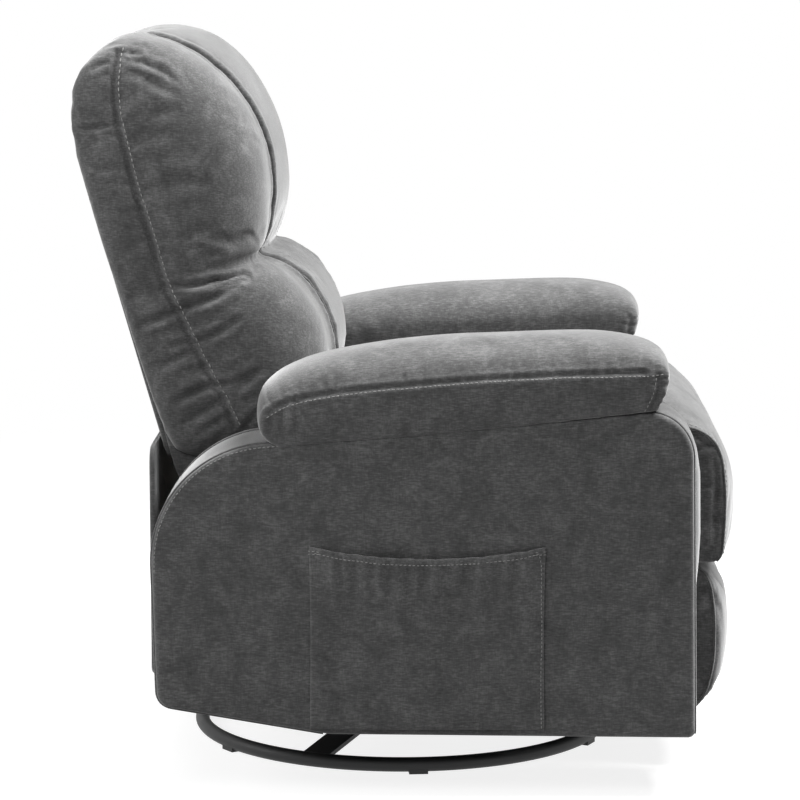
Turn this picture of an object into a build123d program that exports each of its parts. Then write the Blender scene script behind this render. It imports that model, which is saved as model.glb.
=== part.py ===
from build123d import *
import os
from math import atan2, cos, degrees, exp, hypot, pi, radians, sin

os.makedirs("parts", exist_ok=True)

# Swivel rocker recliner, in millimetres.
# The origin is the floor point under the swivel axis, +Z is up, the chair faces -Y and
# +X is the sitter's left. Side outlines are written as (forward, up), so forward is -Y.

# Fits and gaps
PIN_FIT = 0.05  # radial play of a pin, shaft or tube in its hole
BOLT_FIT = 0.2  # radial play of a bolt in its hole
SOFT_GAP = 0.3  # room between a soft piece and what carries it
LAYER_GAP = 2.0  # room between neighbouring linkage layers
PLATE = 4.0  # steel plate and flat link thickness

# Widths, from the middle of the chair outwards
SEAT_WIDTH = 508.0
ARM_GAP = 6.0  # seat cushion to arm
ARM_WIDTH = 150.0
PANEL = 10.0  # padded fabric panel
SEAT_HALF = SEAT_WIDTH / 2
ARM_INNER = SEAT_HALF + ARM_GAP
HALF_WIDTH = ARM_INNER + ARM_WIDTH

# Arm box outline, and the radii of its corners
ARM_FRONT = 395.0  # at the foot
ARM_FRONT_TOP = 388.0
ARM_REAR = 329.0  # behind the swivel axis
ARM_REAR_FOOT = 319.0
ARM_KINK = 90.0  # behind the axis, where the underside starts to rise
ARM_FOOT_Z = 80.0
ARM_KINK_Z = 83.0
ARM_REAR_FOOT_Z = 121.0
ARM_REAR_TOP_Z = 460.0
ARM_FRONT_TOP_Z = 522.0
ARM_FOOT_RADIUS = 8.0
ARM_FRONT_RADIUS = 62.0
ARM_REAR_RADIUS = 160.0
ARM_REAR_FOOT_RADIUS = 22.0
ARM_KINK_RADIUS = 60.0
BORDER = 8.0  # the band that closes the arm box all round
BOARD = 18.0  # plywood side boards
BOARD_RIM = 50.0  # width of the outer board's rim
BATTEN = 36.0

# Arm pad
PAD_OVERHANG = 4.0  # past the outer face of the arm
PAD_FRONT = 356.0
PAD_REAR = 187.0
PAD_SIDE = 66.0  # side wall near the front
PAD_CROWN = 36.0  # rise of the top over the side walls
PAD_REAR_SHARE = 0.96  # the pad is a little lower towards its ends
PAD_FRONT_SHARE = 0.92
PAD_ARCH = 17.0
PAD_ROLL = 46.0  # length of the rounded ends above
PAD_END = 26.0  # and below
PAD_ROUND = 0.3  # where an end's arc passes, as shares of its length and height
PAD_ROUND_LOW = 0.28
PAD_ROUND_HIGH = 0.72

# Side pocket on the right arm
POCKET_FRONT = 196.0
POCKET_REAR = 117.0
POCKET_TOP_Z = 340.0
POCKET_FOOT_Z = 90.0
POCKET_SAG = 16.0
POCKET_DEPTH = 14.0
POCKET_WALL = 3.0

# Ring base and swivel bearing
RING_RADIUS = 290.0
RING_TUBE = 20.0
GLIDE_PAD = 2.0  # glide under the tube
GLIDE_COUNT = 6
GLIDE_LENGTH = 26.0
GLIDE_WIDTH = 16.0
GLIDE_HEIGHT = 8.0
CROSS_WIDTH = 40.0
CROSS_THICK = 6.0
CROSS_TOP = 40.0
CROSS_HUB = 100.0  # flat part of each arm, from the middle
CROSS_ARMS = 4
BASE_TURN = 65.3  # degrees from +X to the first arm of the cross
SWIVEL_RADIUS = 105.0
UPPER_PLATE = 200.0
RACE_GAP = 6.0  # between the two swivel plates
BALL = 8.0
BALL_COUNT = 16
BALL_CIRCLE = 70.0
KING_BOLT = 12.0
KING_HEAD = 19.0
BOLT = 8.0
BOLT_HEAD = 13.0
BOLT_HEAD_HEIGHT = 5.0
HUB_BOLT_RADIUS = 90.0
CRADLE_BOLT_SPACING = 160.0
RING_Z = GLIDE_PAD + RING_TUBE / 2
LOWER_PLATE_Z = CROSS_TOP
UPPER_PLATE_Z = LOWER_PLATE_Z + PLATE + RACE_GAP
CRADLE_Z = UPPER_PLATE_Z + PLATE
CRADLE_TOP = CRADLE_Z + PLATE

# Rocker
ROCK_Z = 108.0  # rocking axis
CRADLE_LENGTH = 300.0
CHEEK = 5.0
CHEEK_EYE = 21.0
CHEEK_FOOT = 120.0
CRADLE_MARGIN = 8.0  # plate past the cheeks
ROCK_SHAFT = 16.0
BUSH_WALL = 3.0
HANGER_WIDTH = 44.0
RAIL = 30.0  # square tube
RAIL_WALL = 2.5
RAIL_Z = 150.0
HANGER_INSET = 8.0  # rail's inner face to the rocker hanger
SPRING_SEAT = 50.0  # width of the cross plates over the springs
SPRING_PLACE = 120.0  # forward and rearward of the axis
SPRING_SIDE = 100.0
SPRING_RADIUS = 22.0
SPRING_WIRE = 5.0
SPRING_TURNS = 5
SPRING_END_PITCH = 6.0  # rise of the close first and last turns
CROSS_TUBE = 25.0
CROSS_TUBE_WALL = 2.0
CROSS_TUBE_FRONT = 62.0
FLANGE_HEIGHT = 70.0
FLANGE_LENGTH = 40.0
FLANGE_BOLT_SPACING = 46.0

# Seat carriage on swing links
SWING_LENGTH = 125.0
SWING_LEAN = 23.0  # degrees behind upright at rest
SWING_REAR = -130.0
SWING_FRONT = 120.0
CROSS_TUBE_STEP = 42.0  # rear cross tube behind the rear swing pins
CROSS_TUBE_REAR = SWING_REAR - CROSS_TUBE_STEP
RAIL_OVERHANG = 65.0  # rail past the rear swing pins
RAIL_LENGTH = 2 * (RAIL_OVERHANG - SWING_REAR)
SWING_PIN = 10.0
SWING_HEAD = 16.0
SWING_WIDTH = 26.0
SWING_HEAD_HEIGHT = 3.0
SEAT_RAIL_Z = 292.0
SEAT_RAIL_HEIGHT = 54.0
SEAT_RAIL_WIDTH = 22.0
SEAT_CROSS_RAIL = 40.0  # height of the front and rear rails
SEAT_RAIL_REAR = -205.0
SEAT_RAIL_FRONT = 380.0
SPRING_ROWS = 5
SINUOUS_WIRE = 4.0
SINUOUS_HALF = 22.0  # half width of one zigzag spring
SINUOUS_PITCH = 32.0
SINUOUS_RADIUS = 14.0
CLIP_LENGTH = 12.0
CLIP_WIDTH = 22.0
CLIP_HEIGHT = 6.6

# Linkage layers, from the seat's side inwards
LAYER_INSET = 22.0  # seat side to the outermost layer
BAR_OUT = SEAT_HALF - LAYER_INSET
BAR_IN = BAR_OUT - PLATE
LINK_OUT = BAR_IN - LAYER_GAP
LINK_IN = LINK_OUT - PLATE
SIDE_PLATE_OUT = LINK_IN - LAYER_GAP
SIDE_PLATE_IN = SIDE_PLATE_OUT - PLATE
SEAT_RAIL_IN = SIDE_PLATE_IN - SEAT_RAIL_WIDTH
SEAT_HANGER_IN = SEAT_RAIL_IN - PLATE
SWING_OUT = SEAT_HANGER_IN - LAYER_GAP
SWING_IN = SWING_OUT - PLATE
RAIL_OUT = SWING_IN - LAYER_GAP
RAIL_IN = RAIL_OUT - RAIL
ROCK_HANGER_IN = RAIL_IN + HANGER_INSET
CHEEK_OUT = ROCK_HANGER_IN - CHEEK

# Footrest linkage, folded
FOOT_PIVOT = (345.0, 191.0)  # where the lower bar meets the footrest bracket
FOOT_BAR = 240.0
FOOT_BAR_RISE = 27.0  # degrees
FOOT_LINK = 230.0
FOOT_LINK_FOLDED = -110.0  # degrees from straight ahead
FOOT_IDLER_STEP = 60.0  # main pivot to idler pivot, along the bar's direction
FOOT_BAR_STEP = 50.0  # lower bar to upper bar, along the main link
FOOT_LINK_WIDTH = 24.0
FOOT_BAR_WIDTH = 22.0
FOOT_PIN = 8.0
FOOT_HEAD = 14.0
FOOT_HEAD_HEIGHT = 2.5
DRIVE_TUBE = 22.0
DRIVE_TUBE_WALL = 3.0

# Footrest board and pad
FOOT_BOARD_REAR = 380.0
FOOT_BOARD = 15.0
FOOT_BOARD_FOOT = 90.0
FOOT_BOARD_TOP = 264.0
FOOT_PAD_FOOT = 83.0
FOOT_PAD_TOP = 270.0
FOOT_PAD_THICK = 38.0  # at the sides
FOOT_PAD_CROWN = 26.0  # more at the middle
FOOT_PAD_BROW = 0.55  # flat share of its top and foot
FOOT_PAD_ROUND = (2.0, 0.3)  # where the face's arcs pass: in from the face, share of the height
BRACKET_FLANGE = 26.0

# Seat cushion
SEAT_REAR = -183.0
SEAT_REAR_Z = 418.0
SEAT_MIDDLE = 100.0
SEAT_MIDDLE_Z = 479.0
SEAT_BROW = 343.0
SEAT_BROW_Z = 496.0
SEAT_NOSE = 447.0
SEAT_NOSE_Z = 390.0
SEAT_NOSE_FOOT_Z = 292.0
SEAT_CROWN = 40.0  # rise of the middle over the sides
SEAT_NOSE_CROWN = 24.0
SEAT_TURN_SIDE = (0.9, 0.7)  # where the brow's arc passes, from nose to brow
SEAT_TURN_MIDDLE = (0.74, 0.6)
SEAT_NOSE_BULGE = 1.0
DRAW_IN = 12.0  # how far the side seams are pulled in
# Sections across a cushion, as shares of its half width
STATIONS = (-1.0, -0.85, -0.6, -0.3, 0.0, 0.3, 0.6, 0.85, 1.0)
CROWN_POWER = 3  # how long the crown stays full towards the sides

# Back, in its own leaning frame: (out from the rear face, up along it)
BACK_FOOT = (-331.0, 468.0)
BACK_LEAN = 16.0
BACK_PANEL = 10.0
BACK_BOTTOM = -46.0
BACK_TOP = 398.0
POST_REAR = 12.0
POST_DEPTH = 52.0
POST_WIDTH = 22.0
BACK_RAIL_HEIGHT = 52.0
BACK_RAIL_DEPTH = 22.0
WEB = 2.0
WEB_HEIGHT = 50.0
WEB_COUNT = 5
WEB_FIRST = 50.0
WEB_STEP = 62.0
BACK_PROUD = 2.0  # the back's cushions past the seat's side
BACK_SIDE = SEAT_HALF + BACK_PROUD  # half width of the back's cushions
BACK_BAND_DEPTH = 64.0
BAND_ROUND = 8.0
CREASE = 186.0  # height of the fold between lumbar and head cushions
CREASE_GAP = 4.0
HEAD_FRONT = 254.0
HEAD_TOP = 520.0
HEAD_REAR_INSET = 2.0
LUMBAR_FRONT = 264.0
BACK_CROWN = 8.0  # of the middle channel
BACK_SEAM = 140.0  # upright seams that part the middle channel from the side ones
BACK_SEAM_DIP = 13.0
BACK_SEAM_WIDTH = 32.0  # half width of the dip
CHANNEL_STEPS = (0.0, 0.5, 0.8, 1.0)  # sections of the middle channel, as shares of it
SIDE_STEPS = (0.24, 0.5, 0.82, 1.0)  # and of a side channel
# Depths are shares of the deepest point, heights are above the foot or below the top
LUMBAR_HEM = 0.46
LUMBAR_FRONT_CURVE = ((0.80, 14.0), (0.955, 52.0), (1.0, 98.0), (0.94, 162.0), (0.88, 198.0))
LUMBAR_NECK = 0.78
HEAD_CHIN = 0.80
HEAD_CHEEK = (0.93, 64.0)
HEAD_FRONT_CURVE = ((1.0, 195.0), (0.895, 92.0), (0.69, 30.0))
HEAD_TOP_CURVE = ((0.46, 0.0), (0.165, 24.0), (0.04, 68.0))
HINGE = (-247.0, 415.0)
HINGE_PIN = 12.0
HINGE_EYE = 18.0
HINGE_HEAD = 20.0

# Rear skirt and stretcher
SKIRT = 8.0
SKIRT_TOP = 452.0
SKIRT_FOOT = 135.0
SKIRT_LAP = 28.0  # over the back edges of the arms
STRETCHER_Z = 180.0
STRETCHER_HEIGHT = 70.0
STRETCHER_DEPTH = 22.0

# Release strap on the right of the seat
STRAP_FORWARD = 156.0
STRAP_WIDTH = 26.0
STRAP_THICK = 2.0
STRAP_TOP = 560.0
STRAP_PULL = 20.0
GUIDE_Z = 308.0
GUIDE_HEIGHT = 6.0
GUIDE_MARGIN = 4.0
TOGGLE = 6.0


def side_plane(x):
    """Upright fore-and-aft plane: local x is forward, local y is up, facing the sitter's right."""
    return Plane(origin=(x, 0, 0), x_dir=(0, -1, 0), z_dir=(-1, 0, 0))


def slab_plane(side, inner, outer):
    """The plane from which a slab between two distances from the middle is extruded."""
    return side_plane(outer) if side > 0 else side_plane(-inner)


def back_plane(x):
    """The leaning frame of the back: local x is out from the rear face, local y is up along it."""
    lean = radians(BACK_LEAN)
    return Plane(
        origin=(x, -BACK_FOOT[0], BACK_FOOT[1]),
        x_dir=(0, -cos(lean), sin(lean)),
        z_dir=(-1, 0, 0),
    )


def cross_plane(forward):
    """Upright plane across the chair: local x is +X, local y is up, facing forward."""
    return Plane(origin=(0, -forward, 0), x_dir=(1, 0, 0), z_dir=(0, -1, 0))


def polar(start, length, angle):
    """The point at a length and an angle in degrees from a start point."""
    return (start[0] + length * cos(radians(angle)), start[1] + length * sin(radians(angle)))


def to_back_frame(point):
    """A (forward, up) point in the leaning frame of the back."""
    lean = radians(BACK_LEAN)
    forward = point[0] - BACK_FOOT[0]
    up = point[1] - BACK_FOOT[1]
    return (forward * cos(lean) + up * sin(lean), up * cos(lean) - forward * sin(lean))


def save(piece, name):
    """Label a finished piece and write it under its name."""
    piece.label = name
    export_step(piece, f"parts/{name}.step")


def flat_links(inner, outer, ends, width, holes, hole):
    """A mirrored pair of straight flat links with round ends."""
    (u0, z0), (u1, z1) = ends
    with BuildPart() as links:
        with BuildSketch(side_plane(-inner)):
            with Locations(((u0 + u1) / 2, (z0 + z1) / 2)):
                slant = degrees(atan2(z1 - z0, u1 - u0))
                SlotCenterToCenter(hypot(u1 - u0, z1 - z0), width, rotation=slant)
            with Locations(*holes):
                Circle(hole / 2, mode=Mode.SUBTRACT)
        extrude(amount=outer - inner)
        mirror(about=Plane.YZ)
    return links.part


def headed_pins(centres, diameter, inner, outer, head, head_inner, head_outer):
    """Mirrored pairs of pins with a round head, between distances from the middle."""
    with BuildPart() as pins:
        with BuildSketch(side_plane(-inner)):
            with Locations(*centres):
                Circle(diameter / 2)
        extrude(amount=outer - inner)
        with BuildSketch(side_plane(-head_inner)):
            with Locations(*centres):
                Circle(head / 2)
        extrude(amount=head_outer - head_inner)
        mirror(about=Plane.YZ)
    return pins.part


def bolts(places, z_head, z_nut):
    """Upright bolts: a head on top, a nut below, both hexagonal."""
    with BuildPart() as group:
        with BuildSketch(Plane.XY.offset(z_nut - BOLT_HEAD_HEIGHT)):
            with Locations(*places):
                Circle(BOLT / 2)
        extrude(amount=z_head - z_nut + 2 * BOLT_HEAD_HEIGHT)
        for level in (z_head, z_nut - BOLT_HEAD_HEIGHT):
            with BuildSketch(Plane.XY.offset(level)):
                with Locations(*places):
                    RegularPolygon(BOLT_HEAD / 2, 6)
            extrude(amount=BOLT_HEAD_HEIGHT)
    return group.part


def lofted(sections, ruled=False):
    """A soft solid lofted through closed outlines of lines and arcs.

    Each section is a plane, a start point and its edges: (end,) for a line,
    (middle, end) for an arc. A ruled solid runs straight from section to section.
    """
    with BuildPart() as form:
        for plane, start, edges in sections:
            with BuildSketch(plane):
                with BuildLine():
                    here = start
                    for edge in edges:
                        if len(edge) == 2:
                            ThreePointArc(here, edge[0], edge[1])
                        else:
                            Line(here, edge[0])
                        here = edge[-1]
                make_face()
        loft(ruled=ruled)
    return form.part


def across(middle, half):
    """Stations from side to side with (position, crown share, draw-in) at each."""
    stations = []
    for share in STATIONS:
        crown = 1 - abs(share) ** CROWN_POWER
        stations.append((middle + share * half, crown, DRAW_IN * share**4))
    return stations


def group(*pieces):
    """Several separate solids kept together in one node."""
    solids = []
    for piece in pieces:
        solids.extend(piece.solids())
    return Compound(solids)


# Base ring, glides and cross
with BuildPart() as base_ring:
    with BuildSketch(Plane.XZ):
        with Locations((RING_RADIUS, RING_Z)):
            Circle(RING_TUBE / 2)
    revolve(axis=Axis.Z)
save(base_ring.part, "base_ring")

with BuildPart() as base_glides:
    with PolarLocations(RING_RADIUS, GLIDE_COUNT, start_angle=BASE_TURN):
        Box(
            GLIDE_WIDTH,
            GLIDE_LENGTH,
            GLIDE_HEIGHT,
            align=(Align.CENTER, Align.CENTER, Align.MIN),
        )
    add(base_ring.part, mode=Mode.SUBTRACT)
save(base_glides.part, "base_glides")

with BuildPart() as base_cross:
    for arm in range(CROSS_ARMS):
        turn = radians(BASE_TURN + arm * 360 / CROSS_ARMS)
        arm_plane = Plane(
            origin=(0, 0, 0),
            x_dir=(cos(turn), sin(turn), 0),
            z_dir=(sin(turn), -cos(turn), 0),
        )
        with BuildSketch(arm_plane):
            Polygon(
                (0, CROSS_TOP - CROSS_THICK),
                (CROSS_HUB, CROSS_TOP - CROSS_THICK),
                (RING_RADIUS, RING_Z - CROSS_THICK / 2),
                (RING_RADIUS, RING_Z + CROSS_THICK / 2),
                (CROSS_HUB, CROSS_TOP),
                (0, CROSS_TOP),
                align=None,
            )
        extrude(amount=CROSS_WIDTH / 2, both=True)
    with Locations((0, 0, CROSS_TOP)):
        Cylinder(KING_HEAD, 2 * CROSS_THICK + CROSS_TOP, mode=Mode.SUBTRACT)
    with PolarLocations(HUB_BOLT_RADIUS, CROSS_ARMS, start_angle=BASE_TURN):
        Hole(BOLT / 2 + BOLT_FIT, depth=2 * CROSS_TOP)
    add(base_ring.part, mode=Mode.SUBTRACT)
save(base_cross.part, "base_cross")

# Swivel bearing
RACE_Z = LOWER_PLATE_Z + PLATE + RACE_GAP / 2

with BuildPart() as race:
    with Locations((0, 0, RACE_Z)):
        Torus(BALL_CIRCLE, BALL / 2 + PIN_FIT)

with BuildPart() as swivel_lower_plate:
    with BuildSketch(Plane.XY.offset(LOWER_PLATE_Z)):
        Circle(SWIVEL_RADIUS)
        Circle(KING_BOLT / 2 + PIN_FIT, mode=Mode.SUBTRACT)
        with PolarLocations(HUB_BOLT_RADIUS, CROSS_ARMS, start_angle=BASE_TURN):
            Circle(BOLT / 2 + BOLT_FIT, mode=Mode.SUBTRACT)
    extrude(amount=PLATE)
    add(race.part, mode=Mode.SUBTRACT)
save(swivel_lower_plate.part, "swivel_lower_plate")

HUB_BOLTS = []
for arm in range(CROSS_ARMS):
    HUB_BOLTS.append(polar((0, 0), HUB_BOLT_RADIUS, BASE_TURN + arm * 360 / CROSS_ARMS))
hub_bolts = bolts(HUB_BOLTS, LOWER_PLATE_Z + PLATE, CROSS_TOP - CROSS_THICK)
save(hub_bolts, "hub_bolts")

with BuildPart() as swivel_balls:
    with Locations((0, 0, RACE_Z)):
        with PolarLocations(BALL_CIRCLE, BALL_COUNT):
            Sphere(BALL / 2)
save(swivel_balls.part, "swivel_balls")

CRADLE_BOLTS = []
for side in (-1, 1):
    for end in (-1, 1):
        CRADLE_BOLTS.append((side * CRADLE_BOLT_SPACING / 2, end * CRADLE_BOLT_SPACING / 2))

with BuildPart() as swivel_upper_plate:
    with BuildSketch(Plane.XY.offset(UPPER_PLATE_Z)):
        RectangleRounded(UPPER_PLATE, UPPER_PLATE, BOLT_HEAD)
        Circle(KING_BOLT / 2 + PIN_FIT, mode=Mode.SUBTRACT)
        with Locations(*CRADLE_BOLTS):
            Circle(BOLT / 2 + BOLT_FIT, mode=Mode.SUBTRACT)
    extrude(amount=PLATE)
    add(race.part, mode=Mode.SUBTRACT)
save(swivel_upper_plate.part, "swivel_upper_plate")

with BuildPart() as king_bolt:
    with BuildSketch(Plane.XY.offset(LOWER_PLATE_Z - BOLT_HEAD_HEIGHT)):
        Circle(KING_BOLT / 2)
    extrude(amount=CRADLE_Z - LOWER_PLATE_Z + 2 * BOLT_HEAD_HEIGHT)
    for level in (LOWER_PLATE_Z - BOLT_HEAD_HEIGHT - PIN_FIT, CRADLE_Z):
        with BuildSketch(Plane.XY.offset(level)):
            RegularPolygon(KING_HEAD / 2, 6)
        extrude(amount=BOLT_HEAD_HEIGHT)

# Rocker cradle on the swivel
CRADLE_HALF = CHEEK_OUT + CRADLE_MARGIN

with BuildPart() as rocker_cradle:
    with BuildSketch(Plane.XY.offset(CRADLE_Z)):
        RectangleRounded(2 * CRADLE_HALF, CRADLE_LENGTH, CRADLE_MARGIN)
        Circle(KING_HEAD, mode=Mode.SUBTRACT)
        with Locations(*CRADLE_BOLTS):
            Circle(BOLT / 2 + BOLT_FIT, mode=Mode.SUBTRACT)
    extrude(amount=PLATE)
    with BuildSketch(side_plane(-(CHEEK_OUT - CHEEK))):
        Polygon(
            (-CHEEK_FOOT / 2, CRADLE_TOP),
            (CHEEK_FOOT / 2, CRADLE_TOP),
            (CHEEK_EYE, ROCK_Z),
            (-CHEEK_EYE, ROCK_Z),
            align=None,
        )
        with Locations((0, ROCK_Z)):
            Circle(CHEEK_EYE)
            Circle(ROCK_SHAFT / 2 + PIN_FIT, mode=Mode.SUBTRACT)
    extrude(amount=CHEEK)
    mirror(about=Plane.YZ)
save(rocker_cradle.part, "rocker_cradle")
cradle_bolts = bolts(CRADLE_BOLTS, CRADLE_TOP, UPPER_PLATE_Z)
save(group(king_bolt.part, cradle_bolts), "swivel_bolts")

ROCK_HANGER_OUT = ROCK_HANGER_IN + CHEEK
BUSH_PROUD = 1.0
CLIP_RING = 2.0
SHAFT_END = ROCK_HANGER_OUT + BUSH_PROUD + 2 * CLIP_RING

with BuildPart() as rocker_shaft:
    with BuildSketch(side_plane(SHAFT_END)):
        with Locations((0, ROCK_Z)):
            Circle(ROCK_SHAFT / 2)
    extrude(amount=2 * SHAFT_END)
save(rocker_shaft.part, "rocker_shaft")

with BuildPart() as shaft_clips:
    with BuildSketch(side_plane(-(ROCK_HANGER_OUT + BUSH_PROUD + PIN_FIT))):
        with Locations((0, ROCK_Z)):
            Circle(ROCK_SHAFT / 2 + 2 * CLIP_RING)
            Circle(ROCK_SHAFT / 2 + PIN_FIT, mode=Mode.SUBTRACT)
    extrude(amount=CLIP_RING)
    mirror(about=Plane.YZ)
save(shaft_clips.part, "shaft_clips")

# Rocking chassis: rails, hangers on the rocker shaft, plates over the springs
SWING_LOW = ((SWING_REAR, RAIL_Z + RAIL / 2), (SWING_FRONT, RAIL_Z + RAIL / 2))
TUBE_PLACES = (
    (CROSS_TUBE_REAR, RAIL_Z + RAIL / 2),
    (CROSS_TUBE_FRONT, RAIL_Z + RAIL / 2),
)
BUSH_OUTSIDE = ROCK_SHAFT / 2 + BUSH_WALL

with BuildPart() as rocker_frame:
    with BuildSketch(side_plane(-RAIL_IN)):
        with Locations((0, RAIL_Z + RAIL / 2)):
            Rectangle(RAIL_LENGTH, RAIL)
    extrude(amount=RAIL)
    with BuildSketch(side_plane(-(RAIL_IN + RAIL_WALL))):
        with Locations((0, RAIL_Z + RAIL / 2)):
            Rectangle(RAIL_LENGTH, RAIL - 2 * RAIL_WALL)
    extrude(amount=RAIL - 2 * RAIL_WALL, mode=Mode.SUBTRACT)
    with BuildSketch(side_plane(-ROCK_HANGER_IN)):
        with Locations((0, (ROCK_Z + RAIL_Z) / 2)):
            Rectangle(HANGER_WIDTH, RAIL_Z - ROCK_Z)
        with Locations((0, ROCK_Z)):
            Circle(HANGER_WIDTH / 2)
            Circle(BUSH_OUTSIDE + PIN_FIT, mode=Mode.SUBTRACT)
    extrude(amount=CHEEK)
    with BuildSketch(side_plane(-RAIL_IN)):
        with Locations(*TUBE_PLACES):
            Circle(CROSS_TUBE / 2 + PIN_FIT)
    extrude(amount=RAIL, mode=Mode.SUBTRACT)
    with BuildSketch(side_plane(-(RAIL_OUT - RAIL_WALL))):
        with Locations(*SWING_LOW):
            Circle(SWING_PIN / 2 + PIN_FIT)
    extrude(amount=RAIL_WALL, mode=Mode.SUBTRACT)
    mirror(about=Plane.YZ)
    for place in (-SPRING_PLACE, SPRING_PLACE):
        with BuildSketch(Plane.XY.offset(RAIL_Z - PLATE)):
            with Locations((0, -place)):
                Rectangle(2 * RAIL_OUT, SPRING_SEAT)
        extrude(amount=PLATE)
save(rocker_frame.part, "rocker_frame")

with BuildPart() as rocker_bushes:
    with BuildSketch(side_plane(-(ROCK_HANGER_IN - BUSH_PROUD))):
        with Locations((0, ROCK_Z)):
            Circle(BUSH_OUTSIDE)
            Circle(ROCK_SHAFT / 2 + PIN_FIT, mode=Mode.SUBTRACT)
    extrude(amount=CHEEK + 2 * BUSH_PROUD)
    mirror(about=Plane.YZ)
save(rocker_bushes.part, "rocker_bushes")

with BuildPart() as cross_tubes:
    with BuildSketch(side_plane(ARM_INNER)):
        with Locations(*TUBE_PLACES):
            Circle(CROSS_TUBE / 2)
    extrude(amount=2 * ARM_INNER)
    for level in (ARM_INNER, -ARM_INNER + PLATE):
        with BuildSketch(side_plane(level)):
            with Locations(*TUBE_PLACES):
                RectangleRounded(FLANGE_LENGTH, FLANGE_HEIGHT, PLATE)
        extrude(amount=PLATE)
    with BuildSketch(side_plane(ARM_INNER)):
        with Locations(*TUBE_PLACES):
            Circle(CROSS_TUBE / 2 - CROSS_TUBE_WALL)
            with GridLocations(0, FLANGE_BOLT_SPACING, 1, 2):
                Circle(BOLT / 2 + BOLT_FIT)
    extrude(amount=2 * ARM_INNER, mode=Mode.SUBTRACT)
save(cross_tubes.part, "cross_tubes")

FLANGE_BOLTS = []
for place in TUBE_PLACES:
    for end in (-1, 1):
        FLANGE_BOLTS.append((place[0], place[1] + end * FLANGE_BOLT_SPACING / 2))
save(
    headed_pins(
        FLANGE_BOLTS,
        BOLT,
        ARM_INNER - PLATE,
        ARM_INNER + PANEL + BOARD,
        BOLT_HEAD,
        ARM_INNER - PLATE - BOLT_HEAD_HEIGHT,
        ARM_INNER - PLATE,
    ),
    "arm_bolts",
)

# Rocker springs: four coils of round wire between the cradle and the plates above
SPRING_LOW = CRADLE_TOP + SPRING_WIRE / 2 + SOFT_GAP
SPRING_HIGH = RAIL_Z - PLATE - SPRING_WIRE / 2 - SOFT_GAP


def coil_point(quarter):
    """A point of the coil, by quarter turns: the end turns lie close, the rest climb evenly."""
    turns = quarter / 4
    climb_turns = SPRING_TURNS - 2
    if turns < 1:
        z = SPRING_LOW + SPRING_END_PITCH * turns
    elif turns > SPRING_TURNS - 1:
        z = SPRING_HIGH - SPRING_END_PITCH * (SPRING_TURNS - turns)
    else:
        climb = SPRING_HIGH - SPRING_LOW - 2 * SPRING_END_PITCH
        z = SPRING_LOW + SPRING_END_PITCH + climb * (turns - 1) / climb_turns
    angle = quarter * pi / 2
    return Vector(SPRING_RADIUS * cos(angle), SPRING_RADIUS * sin(angle), z)


def coil_heading(quarter):
    """The direction of travel at a point of the coil."""
    angle = quarter * pi / 2
    ahead = coil_point(min(quarter + 0.5, 4 * SPRING_TURNS)).Z
    behind = coil_point(max(quarter - 0.5, 0)).Z
    climb = (ahead - behind) / (pi / 2)
    return Vector(-SPRING_RADIUS * sin(angle), SPRING_RADIUS * cos(angle), climb).normalized()


def biarc_joint(p0, t0, p1, t1):
    """Where two tangent arcs meet between two points with given headings, and the heading there."""
    v = p1 - p0
    t = t0 + t1
    a = t.dot(t) - 4
    b = -2 * v.dot(t)
    c = v.dot(v)
    reach = (-b - (b * b - 4 * a * c) ** 0.5) / (2 * a)
    if reach < 0:
        reach = (-b + (b * b - 4 * a * c) ** 0.5) / (2 * a)
    first = p0 + t0 * reach
    last = p1 - t1 * reach
    return (first + last) * 0.5, (last - first).normalized()


with BuildPart() as one_spring:
    with BuildLine() as coil:
        for quarter in range(4 * SPRING_TURNS):
            start = coil_point(quarter)
            start_heading = coil_heading(quarter)
            end = coil_point(quarter + 1)
            end_heading = coil_heading(quarter + 1)
            middle, middle_heading = biarc_joint(start, start_heading, end, end_heading)
            TangentArc(start, middle, tangent=start_heading)
            TangentArc(middle, end, tangent=middle_heading)
    with BuildSketch(Plane(origin=coil_point(0), z_dir=coil_heading(0))):
        Circle(SPRING_WIRE / 2)
    sweep(path=coil.line)

with BuildPart() as rocker_springs:
    with Locations(
        (SPRING_SIDE, SPRING_PLACE),
        (SPRING_SIDE, -SPRING_PLACE),
        (-SPRING_SIDE, SPRING_PLACE),
        (-SPRING_SIDE, -SPRING_PLACE),
    ):
        add(one_spring.part)
save(rocker_springs.part, "rocker_springs")

coil_points = [coil_point(step / 4) for step in range(16 * SPRING_TURNS + 1)]
coil_gaps = []
for i, p in enumerate(coil_points):
    for q in coil_points[i + 8 :]:
        coil_gaps.append((p - q).length - SPRING_WIRE)
print("rocker spring, least gap to itself:", round(min(coil_gaps), 2), "mm")

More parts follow.
